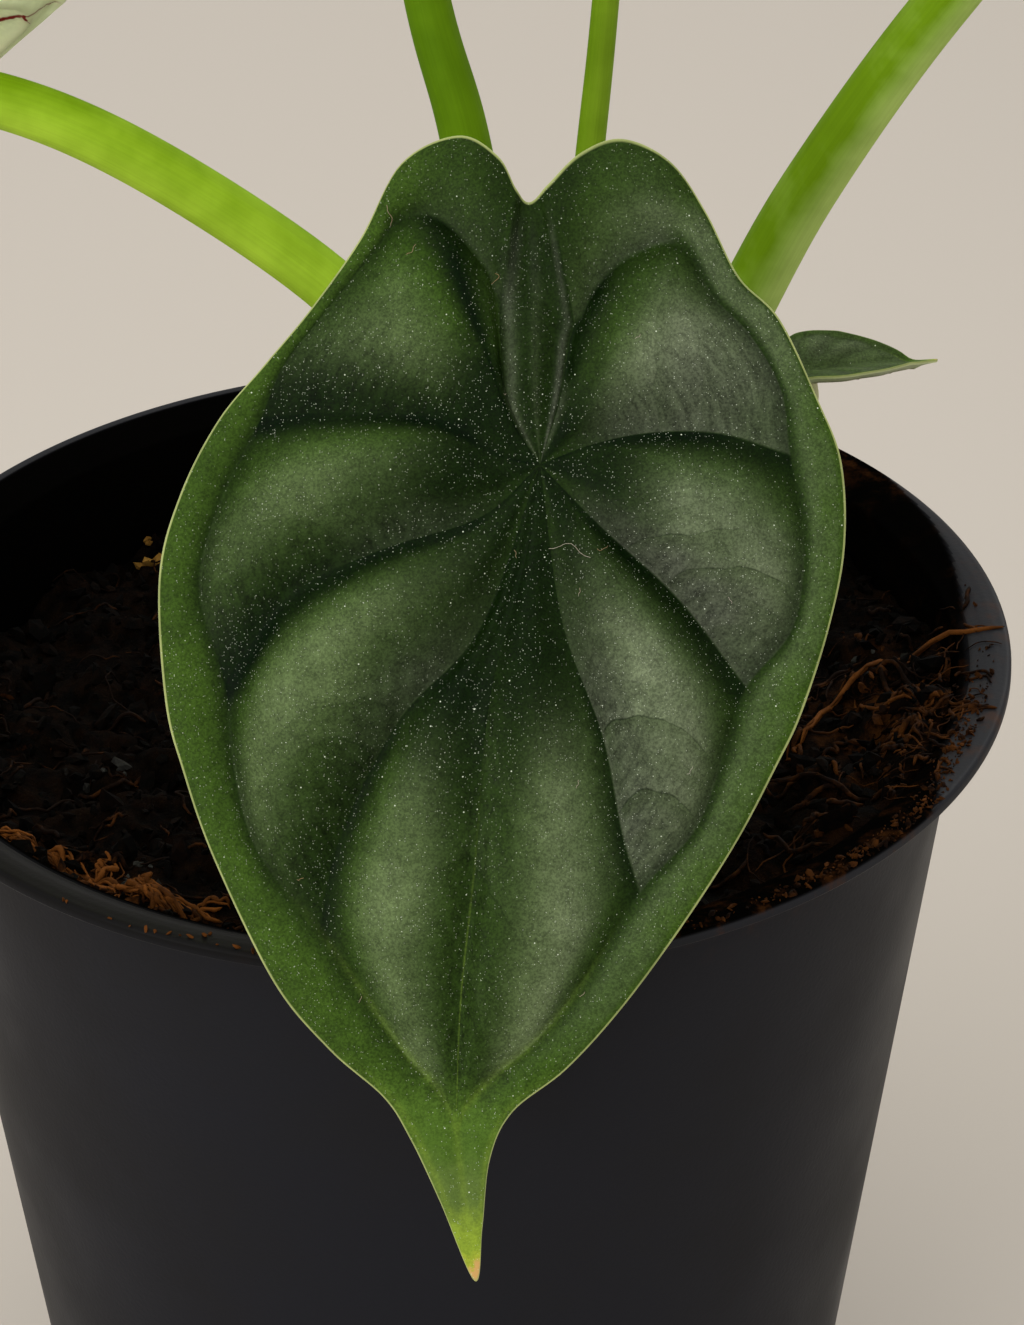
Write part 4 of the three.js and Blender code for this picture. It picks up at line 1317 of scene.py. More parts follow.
# What a leaf has unless it says otherwise. The joint is where the petiole meets the blade,
# lobes and face are the directions of its lobes and its upper side.
usualLeaf = {
    "mirror": False, "tipBend": 0.007, "lobeBend": 0.003, "cup": 0.0025, "fold": 0.0,
    "rays": 7.0, "upperRings": (60, 14), "lowerRings": (34, 9), "paleFrom": -0.75,
    "contrast": 1.0, "relief": 1.0, "quilting": 1.0, "palerBelow": 1.0, "silvered": 0.0, "dusty": 1.0,
}
leaves = [
    {
        "name": "main_leaf", "joint": (11.1, -43.1, 154.5), "lobes": (0.0908, 0.5189, 0.85),
        "face": (0, -0.8535, 0.5211), "scale": 1.0, "tipBend": 0.004, "foot": -90, "radii": (3.1, 2.2),
        "petiole": [(12, 0.8, 115), (11.8, -7, 135), (11.4, -22, 148)],
        "rays": 11.6, "upperRings": (92, 24), "lowerRings": (38, 9),
        "pale": (0.2, 0.33, 0.02), "deep": (0.1, 0.2, 0.006),
    },
    {
        "name": "left_leaf", "joint": (-68, 15, 171.5), "lobes": (0.95, -0.1, 0.3),
        "face": (-0.15, 0.8, 0.58), "scale": 1.08, "tipBend": 0.009, "lobeBend": -0.01,
        "cup": 0.002, "fold": 0.1, "foot": 190, "radii": (3.1, 2.7),
        "petiole": [(3, 9.5, 117), (-2, 9, 134), (-10, 9, 146), (-28, 10.5, 159.3),
                    (-43, 11.5, 166.3), (-57, 10, 169)],
        "upperRings": (54, 14), "lowerRings": (44, 12), "relief": 0.0,
        "pale": (0.43, 0.64, 0.052), "deep": (0.2, 0.37, 0.004), "paleFrom": -0.85,
    },
    {
        "name": "back_leaf", "joint": (-15, 56, 233), "lobes": (0.2, -0.55, 0.81),
        "face": (-0.25, 0.75, 0.6), "scale": 1.06, "mirror": True, "foot": 115, "radii": (2.9, 2.0),
        "petiole": [(8.5, 15, 125), (4.2, 17, 157), (0.2, 21, 173), (-5, 30.5, 202)],
        "pale": (0.13, 0.25, 0.006), "deep": (0.085, 0.18, 0.002),
    },
    {
        "name": "right_leaf", "joint": (88, -5, 216), "lobes": (-0.45, 0.05, 0.88),
        "face": (0.86, -0.2, 0.46), "scale": 1.08, "mirror": True, "lobeBend": 0.004,
        "foot": 0, "radii": (3.3, 2.6),
        "petiole": [(22.5, 7.5, 120), (33.1, 6, 146.5), (40.6, 4, 162.4), (52, 2, 181.2),
                    (66.5, -1.5, 201)],
        "pale": (0.42, 0.57, 0.15), "deep": (0.155, 0.29, 0.006), "paleFrom": -0.25,
    },
    {
        "name": "young_leaf", "joint": (25, -4, 243), "lobes": (-0.55, 0.6, 0.55),
        "face": (0.35, -0.5, 0.79), "scale": 0.66, "tipBend": 0.01, "lobeBend": 0.004,
        "cup": -0.001, "fold": 0.25, "foot": None, "radii": (1.6, 1.2),
        "petiole": [(13.5, 9, 130), (16.7, 10, 160.7), (18.3, 9, 178), (21, 5, 215)],
        "rays": 6.0, "upperRings": (48, 12), "lowerRings": (28, 8),
        "pale": (0.21, 0.35, 0.02), "deep": (0.14, 0.26, 0.006),
    },
    {
        "name": "small_leaf", "joint": (39.8, 20, 129.3), "lobes": (-0.97, -0.2, 0),
        "face": (0.02, -0.05, 0.98), "scale": 0.17, "tipBend": 0.001, "lobeBend": 0.02,
        "cup": 0.003, "fold": 0.5, "foot": 52, "radii": (1.3, 0.75),
        "petiole": [(20.5, 15.5, 109), (30, 17.6, 117.5), (38.9, 19.8, 124.0)],
        "rays": 3.0, "upperRings": (26, 6), "lowerRings": (14, 4), "relief": 0.0,
        "contrast": 0.15, "quilting": 0.4, "palerBelow": 0.5, "silvered": 0.3, "dusty": 0.12,
        "pale": (0.6, 0.6, 0.36), "deep": (0.42, 0.44, 0.2),
    },
]
leaves = [{**usualLeaf, **leaf} for leaf in leaves]


def bladeAxes(leaf):
    lobes = unit(leaf["lobes"])
    face = np.array(leaf["face"], float)
    face = unit(face - (face @ lobes) * lobes)
    return np.cross(lobes, face), lobes, face


# The rays of the fan round the petiole. Within a panel they stand closer near its two veins:
# the share of the way across is a blend of an even step and a half cosine wave.
def bladeRays(perStation):
    count = len(blade["stations"])
    veins = blade["veins"]
    places, first, across = [], [], []
    for index, vein in enumerate(veins):
        span = (veins[(index + 1) % len(veins)][0] - vein[0]) % count
        rays = max(round(span * perStation), 6)
        even = np.arange(rays) / rays
        share = 0.45 * even + 0.55 * 0.5 * (1 - np.cos(math.pi * even))
        places.append((vein[0] + span * share) % count / count)
        first.append(np.full(rays, index))
        across.append(share)
    return np.concatenate(places), np.concatenate(first), np.concatenate(across)


# The rings run out from the petiole on the upper face, over the edge, and back below. For
# each: its share of the way to the collective vein, its share across the band, how far it
# bulges past the edge, and how much of the thickness it lies down.
def bladeRings(upper, lower):
    def ways(panel, band):
        inside = (np.arange(panel) + 1) / panel
        inside = 0.6 * inside + 0.4 * np.sin(0.5 * math.pi * inside)
        outside = (np.arange(band) + 1) / band
        outside = 0.5 * outside + 0.5 * np.sin(0.5 * math.pi * outside)
        along = np.concatenate([inside, np.ones(band)])
        return along, np.concatenate([np.zeros(panel), outside])

    topAlong, topBand = ways(*upper)
    lowAlong, lowBand = ways(*lower)
    turn = math.pi * np.arange(1, 4) / 4
    along = np.concatenate([topAlong, np.ones(3), lowAlong[::-1]])
    band = np.concatenate([topBand, np.ones(3), lowBand[::-1]])
    bulge = np.concatenate([0 * topAlong, blade["bandBulge"] * np.sin(turn), 0 * lowAlong])
    down = np.concatenate([0 * topAlong, 0.5 * (1 - np.cos(turn)), np.ones(len(lowAlong))])
    return along, band, bulge, down


# The blade as arrays of rays by rings. A panel's point lies between its two veins, pulled
# to the collective vein by its share of the way there; a band's point lies on the straight
# line from the collective vein to the edge.
def bladeSurface(leaf):
    places, first, across = bladeRays(leaf["rays"])
    along, bandShare, bulge, down = bladeRings(leaf["upperRings"], leaf["lowerRings"])
    stations, veins = blade["stations"], blade["veins"]
    collective = splineAt(stations[:, 2:], places, closed=True)
    edge = splineAt(stations[:, :2], places, closed=True)
    lines = np.stack([
        splineAt([(0, 0), *via, stations[station, 2:]], along) for station, via, crest, fold in veins
    ])
    second = (first + 1) % len(veins)
    start, finish = lines[first], lines[second]
    ends = np.stack([stations[vein[0], 2:] for vein in veins])
    q = across[:, None]
    pull = collective - (ends[first] + (ends[second] - ends[first]) * q)
    power = np.array(blade["pullPowers"])[first][:, None]
    panel = start + (finish - start) * q[..., None] + (along**power)[..., None] * pull[:, None]
    outward = edge - collective
    bandWidth = np.linalg.norm(outward, axis=-1, keepdims=True)
    share = bandShare + bulge / bandWidth
    crestFirst = np.array([vein[2] for vein in veins])[first]
    folds = np.array([vein[3] for vein in veins])
    return {
        "flat": panel + share[..., None] * outward[:, None],
        "width": np.linalg.norm(finish - start, axis=-1),
        "bandWidth": bandWidth,
        "along": along[None],
        "q": q,
        "fromLobes": np.where(crestFirst[:, None], q, 1 - q),
        "first": first[:, None],
        "fold": np.where(crestFirst, folds[second], folds[first])[:, None],
        "bandShare": bandShare[None],
        "down": down[None],
        "edgeY": edge[:, 1:],
        "sinus": ((first == len(veins) - 1) * 1.0)[:, None],
    }


# Wrinkles: each panel's lie on ellipses round its far corner. Their number grows outwards by
# straight steps between their radii, and is whole on a wrinkle. Gives that number, what one
# step of it is in millimetres there, and how strong the nearest wrinkle is.
def wrinklePhase(s):
    phase = np.zeros(s["flat"].shape[:2])
    scale = np.ones_like(phase)
    strength = np.zeros_like(phase)
    places = np.concatenate([s["flat"] / 2.5, 0 * s["flat"][..., :1]], -1)
    sway = blade["wrinkleSway"] * fractalNoise(places, 2, 41)
    for panel, (wide, rings) in enumerate(blade["wrinkles"]):
        inward = 1 - np.hypot((1 - s["fromLobes"]) / wide, 1 - s["along"]) + sway
        places = np.array([-0.4, *[1 - radius for radius, strong in rings], 1.2])
        strong = np.array([0.0, *[strong for radius, strong in rings], 0.0])
        number = np.interp(inward, places, np.arange(len(places)))
        steps = np.diff(places)[np.clip(number.astype(int), 0, len(places) - 2)]
        here = s["first"] == panel
        phase = np.where(here, number, phase)
        scale = np.where(here, steps * blade["panelLength"], scale)
        strength = np.where(here, strong[np.rint(number).astype(int)], strength)
    return phase, scale, strength


# The share of the way across a panel with its ends rounded off: the distances to the two
# veins, each as the rise of a hyperbola whose bend has the radius of that valley.
def roundedShare(s):
    def hyperbola(distance, radius):
        return np.hypot(distance, radius) - radius

    nearJoint = blade["nearJoint"] * smooth(0.45, 0.05, s["along"])
    sharpness = blade["sharpValley"] + (1 - s["fold"]) * blade["softValley"]
    start = hyperbola(s["fromLobes"] * s["width"], blade["valleyStart"] + nearJoint)
    finish = hyperbola((1 - s["fromLobes"]) * s["width"], sharpness + nearJoint)
    return start / (start + finish + 1e-9)


# The ridges of the strip between the lobes: bells across it.
def stripBells(s):
    drift = -0.14 * smooth(0.5, 0.2, s["along"])
    return [bell(s["fromLobes"], place + drift * (place < 0.3), width)
            for place, width, height in blade["stripRidges"]]


# The quilting swells between two veins by their distance, most on the side of the crest. The
# valleys of some veins are lifted towards the level of their panels.
def quiltHeight(leaf, s):
    along, q, first = s["along"], s["q"], s["first"]
    skewed = roundedShare(s) ** blade["crestSkew"]
    crest = 1 - np.abs(2 * skewed - 1) ** blade["crestPower"]
    fall = 1 - along ** blade["fallPower"]
    quilt = blade["quilt"] * leaf["quilting"] * s["width"] * crest * fall
    lifts = np.array(blade["valleyLift"])
    lift = lifts[first] * smooth(0.55, 0.0, q) + lifts[(first + 1) % len(lifts)] * smooth(0.45, 1.0, q)
    lift = lift * smooth(0.1, 0.5, along) * fall * (s["bandShare"] == 0)
    return quilt * (0.25 + 0.75 * smooth(0.05, 0.4, along)) + lift


# The band beyond the collective vein rolls down by a sine wave, less at the tip and at the
# notch between the lobes.
def bandRoll(s):
    tip = smooth(blade["tipStart"], blade["tipEnd"], s["edgeY"])
    roll = blade["band"] * np.minimum(s["bandWidth"], blade["widestBand"])
    start = np.hypot(s["bandShare"], blade["bandStart"]) - blade["bandStart"]
    notch = s["sinus"] * window(s["q"], 0.0, 0.25, 0.75, 1.0)
    roll = roll * (1 - (1 - blade["tipShare"]) * tip) * (1 - 0.55 * notch)
    return roll * np.sin(blade["bandTurn"] * start)


# Heights above the bent blade, in millimetres: the quilting, the roll, the steps at the
# wrinkles, the pleats in the folds and the ridges between the back lobes.
def bladeHeights(leaf, s):
    along, band, t = s["along"], s["bandShare"], s["fromLobes"]
    inPanel = (band == 0) * (1 - s["sinus"])
    phase, scale, strength = wrinklePhase(s)
    reach = window(t, *blade["wrinkleAcross"]) * window(along, *blade["wrinkleAlong"])
    reach = strength * reach * inPanel
    step = phase - np.floor(phase)
    drop = 1 - smooth(0.0, blade["wrinkleFall"], step * scale)
    wrinkles = blade["wrinkleHeight"] * reach * (step**2 + drop - 0.4)
    turnsAlong, turnsAcross = blade["pleatTurns"]
    pleats = blade["pleatHeight"] * np.cos(turnsAlong * along + turnsAcross * t) * s["fold"] * inPanel
    pleats = pleats * window(t, *blade["pleatAcross"]) * window(along, *blade["pleatAlong"])
    heights = [height for place, width, height in blade["stripRidges"]]
    ridges = sum(ridge * height for ridge, height in zip(stripBells(s), heights))
    ridges = ridges * s["sinus"] * smooth(0.05, 0.3, along) * smooth(0.9, 0.1, band)
    relief = leaf["relief"] * (wrinkles + pleats + ridges)
    return quiltHeight(leaf, s) + bandRoll(s) + relief, (phase, scale, reach)


# Bends the flat blade lengthwise on an arc, one for the tip and one for the lobes, cups it
# crosswise and folds it along the midrib. Gives the points and the upward direction.
def bendBlade(leaf, flat, height):
    x, y = flat[..., 0], flat[..., 1]
    curvature = np.where(y < 0, leaf["tipBend"], leaf["lobeBend"])
    turn = curvature * y
    side = -x if leaf["mirror"] else x
    lift = height - leaf["cup"] * x**2 + (np.hypot(x, 1) - 1) * math.sin(leaf["fold"])
    normal = np.stack([0 * turn, np.sin(turn), np.cos(turn)], -1)
    spine = np.stack(
        [side * math.cos(leaf["fold"]), np.sin(turn) / curvature, (np.cos(turn) - 1) / curvature], -1)
    return (spine + normal * lift[..., None]) * leaf["scale"], normal


# Where each point lies by one of the lobes' veins: its distance from the nearest segment, less
# than 0 on the one side, how far along the vein that is, and a mask that fades to 0 halfway
# between the lobes.
def lobeVeinPlace(flat, left, right):
    steps = blade["lobeVeinSteps"]
    places = []
    for line in (left, right):
        fine = splineAt(line, np.linspace(0, 1, steps + 1))
        step = np.diff(fine, axis=0)
        offset = flat[..., None, :] - fine[:-1]
        share = np.clip((offset * step).sum(-1) / (step**2).sum(-1), 0, 1)
        away = offset - share[..., None] * step
        distance = np.linalg.norm(away, axis=-1)
        nearest = distance.argmin(-1)[..., None]
        side = np.sign(step[:, 0] * away[..., 1] - step[:, 1] * away[..., 0])
        signed = np.take_along_axis(side * distance, nearest, -1)[..., 0]
        reached = np.take_along_axis(share, nearest, -1)[..., 0]
        places.append(np.stack([signed, (nearest[..., 0] + reached) / steps], -1))
    x = flat[..., :1]
    place = np.where(x < blade["betweenLobes"], places[0], places[1])
    return np.concatenate([place, smooth(0.3, 1.2, np.abs(x - blade["betweenLobes"]))], -1)


# How deep the underside lies: the thickness, thinner to the edge, plus round ribs under the
# veins.
def bladeDepth(leaf, s):
    nearVein = np.minimum(s["q"], 1 - s["q"]) * s["width"]
    nearCollective = s["bandShare"] * s["bandWidth"] + (1 - s["along"]) * blade["panelReach"]
    lobeVeins = [lobeVeinPlace(s["flat"], *pair) for pair in blade["lobeVeins"]]
    nearLobe = np.minimum(np.abs(lobeVeins[0][..., 0]), np.abs(lobeVeins[1][..., 0]))
    main, collective, lobe = [
        height * bell(distance, 0, width)
        for distance, (height, width) in zip((nearVein, nearCollective, nearLobe), blade["ribs"])
    ]
    main = main * (1 - 0.6 * s["along"]) * (s["bandShare"] == 0)
    rib = np.maximum(np.maximum(main, collective), lobe)
    thinner = (blade["edgeThickness"] - blade["thickness"]) * s["bandShare"] ** 0.7
    ribs = blade["ribDepth"] * math.sqrt(leaf["scale"]) * rib
    return s["down"] * (blade["thickness"] + thinner + ribs), rib, lobeVeins


# Limits of the blade's tints
tintLimits = {
    # x and y on the flat blade, and a band's width, in millimetres
    "lowEnd": (-40.0, -62.0),
    "upperHalf": (6.0, 15.0),
    "rightHalf": (-2.0, 14.0),
    "greyTop": (28.0, 23.0),
    "sinus": (-9.5, -5.5, 0.0, 4.0),
    "sinusFrom": 15,
    "wideBand": (5.0, 8.5),
    "dripTip": (-62.0, -70.0),
    "dripLine": (-62.5, -65.0),
    "margin": (-57.0, -66.0),
    # shares of the way out along a panel
    "panelEnd": (0.8, 1.0),
    "crestTurn": (0.85, 1.0),
    "freshFrom": (0.3, 0.6),
    "innerSlope": (0.75, 0.35),
    "slopeFrom": (0.1, 0.45),
    "slopeEnd": (0.75, 1.0),
    "lobeSideAlong": (0.0, 0.12, 0.3, 0.5),
    "puckerAlong": (0.25, 0.5, 0.94, 1.0),
    "grooveFrom": (0.93, 1.0),
    "midribFrom": (0.45, 0.8),
    "brightVeinEnd": (0.5, 0.9),
    # shares of the way across a panel
    "slopeAcross": (0.5, 0.88),
    "farSide": (0.6, 0.97),
    "centreAcross": (0.5, 0.85),
    "lobeSide": (0.3, 0.05),
    "puckerAcross": (0.55, 0.85),
    # shares of the way across the band
    "groove": (0.3, 0.0),
    "sinusBand": (0.0, 0.3),
    "strip": (1.0, 0.5),
    "greyBand": (0.06, 0.42, 0.8, 1.0),
    "bandTone": (-0.1, 0.6),
    "edge": (0.985, 1.0),
    "marginBand": (0.88, 0.09),
    "silverAndSheenBand": ([0, 0.12, 0.4, 0.68, 1], [0.15, 0.3, 0.42, 0.15, 0]),
    "freshBand": ([0, 0.4, 0.66, 0.85, 1], [0, 0.1, 0.5, 0.2, 0.0]),
    "plumReflectionBand": ([0, 0.1, 0.3], [1, 0.5, 0]),
    # widths of fine lines in millimetres, and the middle of the drip tip: x, bend, y, length
    "midribWidth": 0.25,
    "lineWidth": 0.4,
    "dripMiddle": (-3.0, 3.0, -65.5, 15.3),
}


# One of the limits as a rise from 0 to 1, or as a rise and a fall.
def rise(name, value):
    return smooth(*tintLimits[name], value)


def hump(name, value):
    return window(value, *tintLimits[name])


# The fine pale lines on the upper face: the midrib, the collective vein by the tip, the
# drip tip's middle and its margin, and the brightest ridge between the lobes.
def paleLines(s, inPanel, low, brightVein):
    t, along, band = s["fromLobes"], s["along"], s["bandShare"]
    x, y = s["flat"][..., 0], s["flat"][..., 1]
    midrib = np.where((s["first"] == 3) | (s["first"] == 4), (1 - t) * s["width"], 99.0)
    midribLine = bell(midrib, 0, tintLimits["midribWidth"]) * rise("midribFrom", along) * inPanel
    nearCollective = band * s["bandWidth"] + (1 - along) * blade["panelReach"]
    collective = bell(nearCollective, 0, tintLimits["lineWidth"]) * low
    middle, bend, bendFrom, length = tintLimits["dripMiddle"]
    dripLine = bell(x, middle + bend * (bendFrom - y) / length, tintLimits["lineWidth"])
    dripLine = dripLine * rise("dripLine", y)
    margin = bell(band, *tintLimits["marginBand"]) * rise("margin", y)
    bright = (0.9 - 0.45 * rise("brightVeinEnd", along)) * brightVein
    lines = np.maximum(0.4 * midribLine, bright)
    lines = np.maximum(lines, (0.35 + 0.2 * rise("dripTip", y)) * collective)
    return np.maximum(lines, 0.4 * np.maximum(margin, 0.8 * dripLine))


# Where each tint of the blade lies, from 0 to 1. Across a panel, from its fold on the lobes'
# side: a dark valley of dark green and painted shade, fresh green, a silvery crest with a painted
# sheen, then a greyish slope of painted reflection down to a sharp fold.
def bladeTones(leaf, s, rib, lobeVeins, wrinkles):
    t, along, band, first = s["fromLobes"], s["along"], s["bandShare"], s["first"]
    x, y = s["flat"][..., 0], s["flat"][..., 1]
    phase, scale, reach = wrinkles
    settings = np.array(blade["panels"])[first[:, 0]].T[..., None]
    openFrom, openTo, crest, before, after, valleyAt, valleyWidth, valleyGain = settings[:8]
    silverAndSheenGain, freshGain, slopeGain, farGain = settings[8:]
    inPanel = (band == 0) * (1.0 - s["sinus"])
    past = (band > 0) * 1.0
    low = rise("lowEnd", y)
    wide = rise("wideBand", s["bandWidth"]) * (s["edgeY"] > 0)
    right = rise("rightHalf", x)

    # the panels
    opening = smooth(openFrom, openTo, along)
    opening = opening * (1 - 0.5 * rise("panelEnd", along) * (1 - 0.6 * low))
    # the silvery crest: silver pigment with a painted sheen
    fromCrest = t - crest - 0.13 * rise("crestTurn", along)
    silverAndSheen = bell(fromCrest, 0, np.where(fromCrest < 0, before, after))
    fresh = bell(fromCrest, -0.95 * before, 0.55 * before + 0.06) * rise("freshFrom", along)
    inner = np.where(first < 3, rise("innerSlope", along), 1.0)
    # the grey slope down to the far fold: a painted reflection
    plumReflection = rise("slopeAcross", t) * rise("slopeFrom", along) * inner
    plumReflection = plumReflection * (1 - 0.35 * rise("slopeEnd", along))
    # the dark valley, the far side and the middle by the joint: dark green with painted shade
    valley = valleyGain * bell(t, valleyAt, valleyWidth)
    valley = np.where((t < valleyAt) & (first != 0), valleyGain, valley)
    far = farGain * rise("farSide", t) * (1 - inner * slopeGain) * (1 - 0.8 * low)
    centre = 0.85 * smooth(openTo, openFrom, along)
    centre = centre * (1 - 0.5 * rise("centreAcross", t) * slopeGain)
    byLobes = rise("lobeSide", t) * hump("lobeSideAlong", along)
    byLobes = byLobes * ((first == 0) | (first == 7))
    shade = np.maximum(np.maximum(valley, far), centre) * inPanel * (1 - 0.75 * byLobes)
    # painted shading of small puckers on the slope
    puckerShade = 0.15 + 0.85 * rise("puckerAcross", t)
    puckerShade = puckerShade * hump("puckerAlong", along) * inPanel

    # the band beyond the collective vein, with painted shade in the groove along that vein and by
    # the notch between the lobes
    groove = rise("grooveFrom", along) * rise("groove", band) * (1 - 0.8 * low)
    shade = np.maximum(shade, 0.5 * groove * (1 - 0.6 * wide) * (1 - s["sinus"]))
    bySinus = hump("sinus", x) * (y > tintLimits["sinusFrom"])
    shade = np.maximum(shade, 0.5 * bySinus * past * rise("sinusBand", band))
    strip = s["sinus"] * rise("strip", band)
    lobe = wide * (1 - strip)
    greyer = 0.45 * right * hump("greyBand", band) * (1 - wide)
    silverAndSheenBand = np.interp(band, *tintLimits["silverAndSheenBand"]) * lobe * (0.12 + 0.88 * right)
    silverAndSheenBand = silverAndSheenBand + greyer * rise("greyTop", y)
    freshBand = np.interp(band, *tintLimits["freshBand"]) * lobe * (0.5 + 0.5 * right)
    plumReflectionBand = np.interp(band, *tintLimits["plumReflectionBand"]) * lobe * (0.3 + 0.4 * right)
    bandTone = past * (1 - wide) * (1 - strip) * rise("bandTone", band)
    bandTone = bandTone * (1 - 0.45 * greyer) * (1 - 0.7 * right * rise("upperHalf", y))

    # the strip between the lobes: grey ridges in the tint of the painted reflection, and painted
    # shade between them
    broadVein, faintRidge, brightVein = stripBells(s)
    greyVein = np.maximum(0.62 * broadVein, 0.3 * faintRidge) * strip
    betweenVeins = 0.62 * strip * (1 - np.maximum(broadVein, 0.6 * faintRidge))

    places = [along * 38.0, t * s["width"] * 0.5 + band * 5.0, first * 7.0]
    tones = {
        "silverAndSheen": silverAndSheenGain * silverAndSheen * opening * inPanel + silverAndSheenBand * past,
        "fresh": freshGain * fresh * opening * inPanel + freshBand * past,
        "plumReflection": np.maximum(
            slopeGain * plumReflection * inPanel + plumReflectionBand * past, np.maximum(greyVein, 0.5 * byLobes * inPanel)),
        "shade": np.maximum(shade, betweenVeins),
        "bandTone": bandTone,
        "puckerShade": puckerShade,
        "rightTone": right,
        "panelPlace": np.stack(np.broadcast_arrays(*places), -1),
        "edgeTone": rise("edge", band) * past,
        "veinTone": np.maximum(rib, 0.0),
        "lineTone": paleLines(s, inPanel, low, brightVein * strip),
        "greyLine": s["sinus"],
        "wrinklePhase": phase,
        "wrinkleScale": scale,
        "wrinkleTone": reach,
        "tipReach": -y,
        "lobeVein": lobeVeins[0],
        "lobeFork": lobeVeins[1],
        "dusty": np.array([[leaf["dusty"]]]),
        "below": smooth(0.45, 0.55, s["down"]) * leaf["palerBelow"],
    }
    for name in ("silverAndSheen", "plumReflection", "shade", "wrinkleTone", "puckerShade"):
        tones[name] = leaf["contrast"] * tones[name]
    tones["silverAndSheen"] = tones["silverAndSheen"] + leaf["silvered"]
    shape = s["flat"].shape[:2]
    return {name: np.broadcast_to(values, shape + values.shape[2:]) for name, values in tones.items()}


bladeLook = {
    "body": (0.021, 0.044, 0.0065),
    "fresh": (0.026, 0.066, 0.001),
    # silver with a painted sheen, greyer on the right; a painted grey reflection; dark green with painted
    # shade for the valleys and creases
    "silverAndSheen": (0.136, 0.19, 0.08),
    "silverAndSheenRight": (0.155, 0.192, 0.112),
    "plumReflection": (0.064, 0.075, 0.051),
    "valley": (0.001, 0.0062, 0.0005),
    "bandGreen": (0.042, 0.086, 0.01),
    "veinGreen": (0.15, 0.24, 0.03),
    "edgeLine": (0.4, 0.46, 0.17),
    "dustColour": (0.72, 0.8, 0.64),
    # painted paler than the underside's own colour, for the light that shines through the blade
    "underside": (0.86, 0.93, 0.6),
    "undersideVein": (0.2, 0.01, 0.008),
    "tipDeep": (0.068, 0.134, 0.017),
    "tipMiddle": (0.1, 0.16, 0.033),
    "tipGreen": (0.26, 0.37, 0.034),
    "tipYellow": (0.44, 0.49, 0.045),
    "tipTan": (0.62, 0.38, 0.13),
    # down the drip tip: the distances from the joint over which each colour comes in
    "tipFrom": {
        "tipDeep": (58.8, 65.4), "tipMiddle": (67.0, 71.5), "tipGreen": (72.0, 77.6),
        "tipYellow": (77.6, 79.4),
    },
    "tanFrom": (78.9, 79.7),
    "tipLine": (62.0, 72.0),
    "tipCalm": (60.0, 70.0),
    # noises: scale, detail, roughness
    "broad": (130.0, 5.0, 0.62),
    "middle": (620.0, 3.0, 0.65),
    "fine": (3800.0, 2.0, 0.75),
    "puckers": (1.0, 4.0, 0.62),
    "skin": (900.0, 1.0, 0.5),
    "bump": (0.3, 0.0003),
    "roughness": (0.42, 0.6),
    # between which gains a noise makes each tone swing
    "swings": {
        "silverAndSheen": (0.66, 1.26), "fresh": (0.5, 1.2), "plumReflection": (0.75, 1.15), "bandTone": (0.55, 1.15),
        "shade": (0.88, 1.1), "lineTone": (0.75, 1.0), "edgeTone": (0.7, 1.1), "veinTone": (0.9, 1.4),
        "wrinkleTone": (0.6, 1.2),
    },
    # by a wrinkle, its painted highlight, painted shadow and painted crease shade: from how many
    # millimetres off, up to which, and how strong
    "glow": (3.2, 0.1, 0.0, 0.22),
    "shadow": (2.8, 0.0, 0.0, 0.4),
    "creaseShade": (0.16, 0.03, 0.0, 0.6),
    # how far the fine noise and the painted shading of the puckers swing
    "fineSwing": (0.36, 0.64, -0.27, 0.27),
    "puckerSwing": (0.36, 0.64, -0.24, 0.24),
    # dust: scale of the specks, their radius, their share where they crowd, how pale they are
    "specks": [(4800.0, 0.2, 0.62, 0.8), (2500.0, 0.14, 0.34, 0.85), (900.0, 0.08, 0.4, 1.0)],
    # the lobes' veins: width, from where they thin out, and their ends
    "lobeVeins": [("lobeVein", 0.34), ("lobeFork", 0.2)],
    "lobeVeinThins": (0.62, 0.8),
    "lobeVeinStart": (0.0, 0.03),
    "lobeVeinEnd": (1.0, 0.94),
}


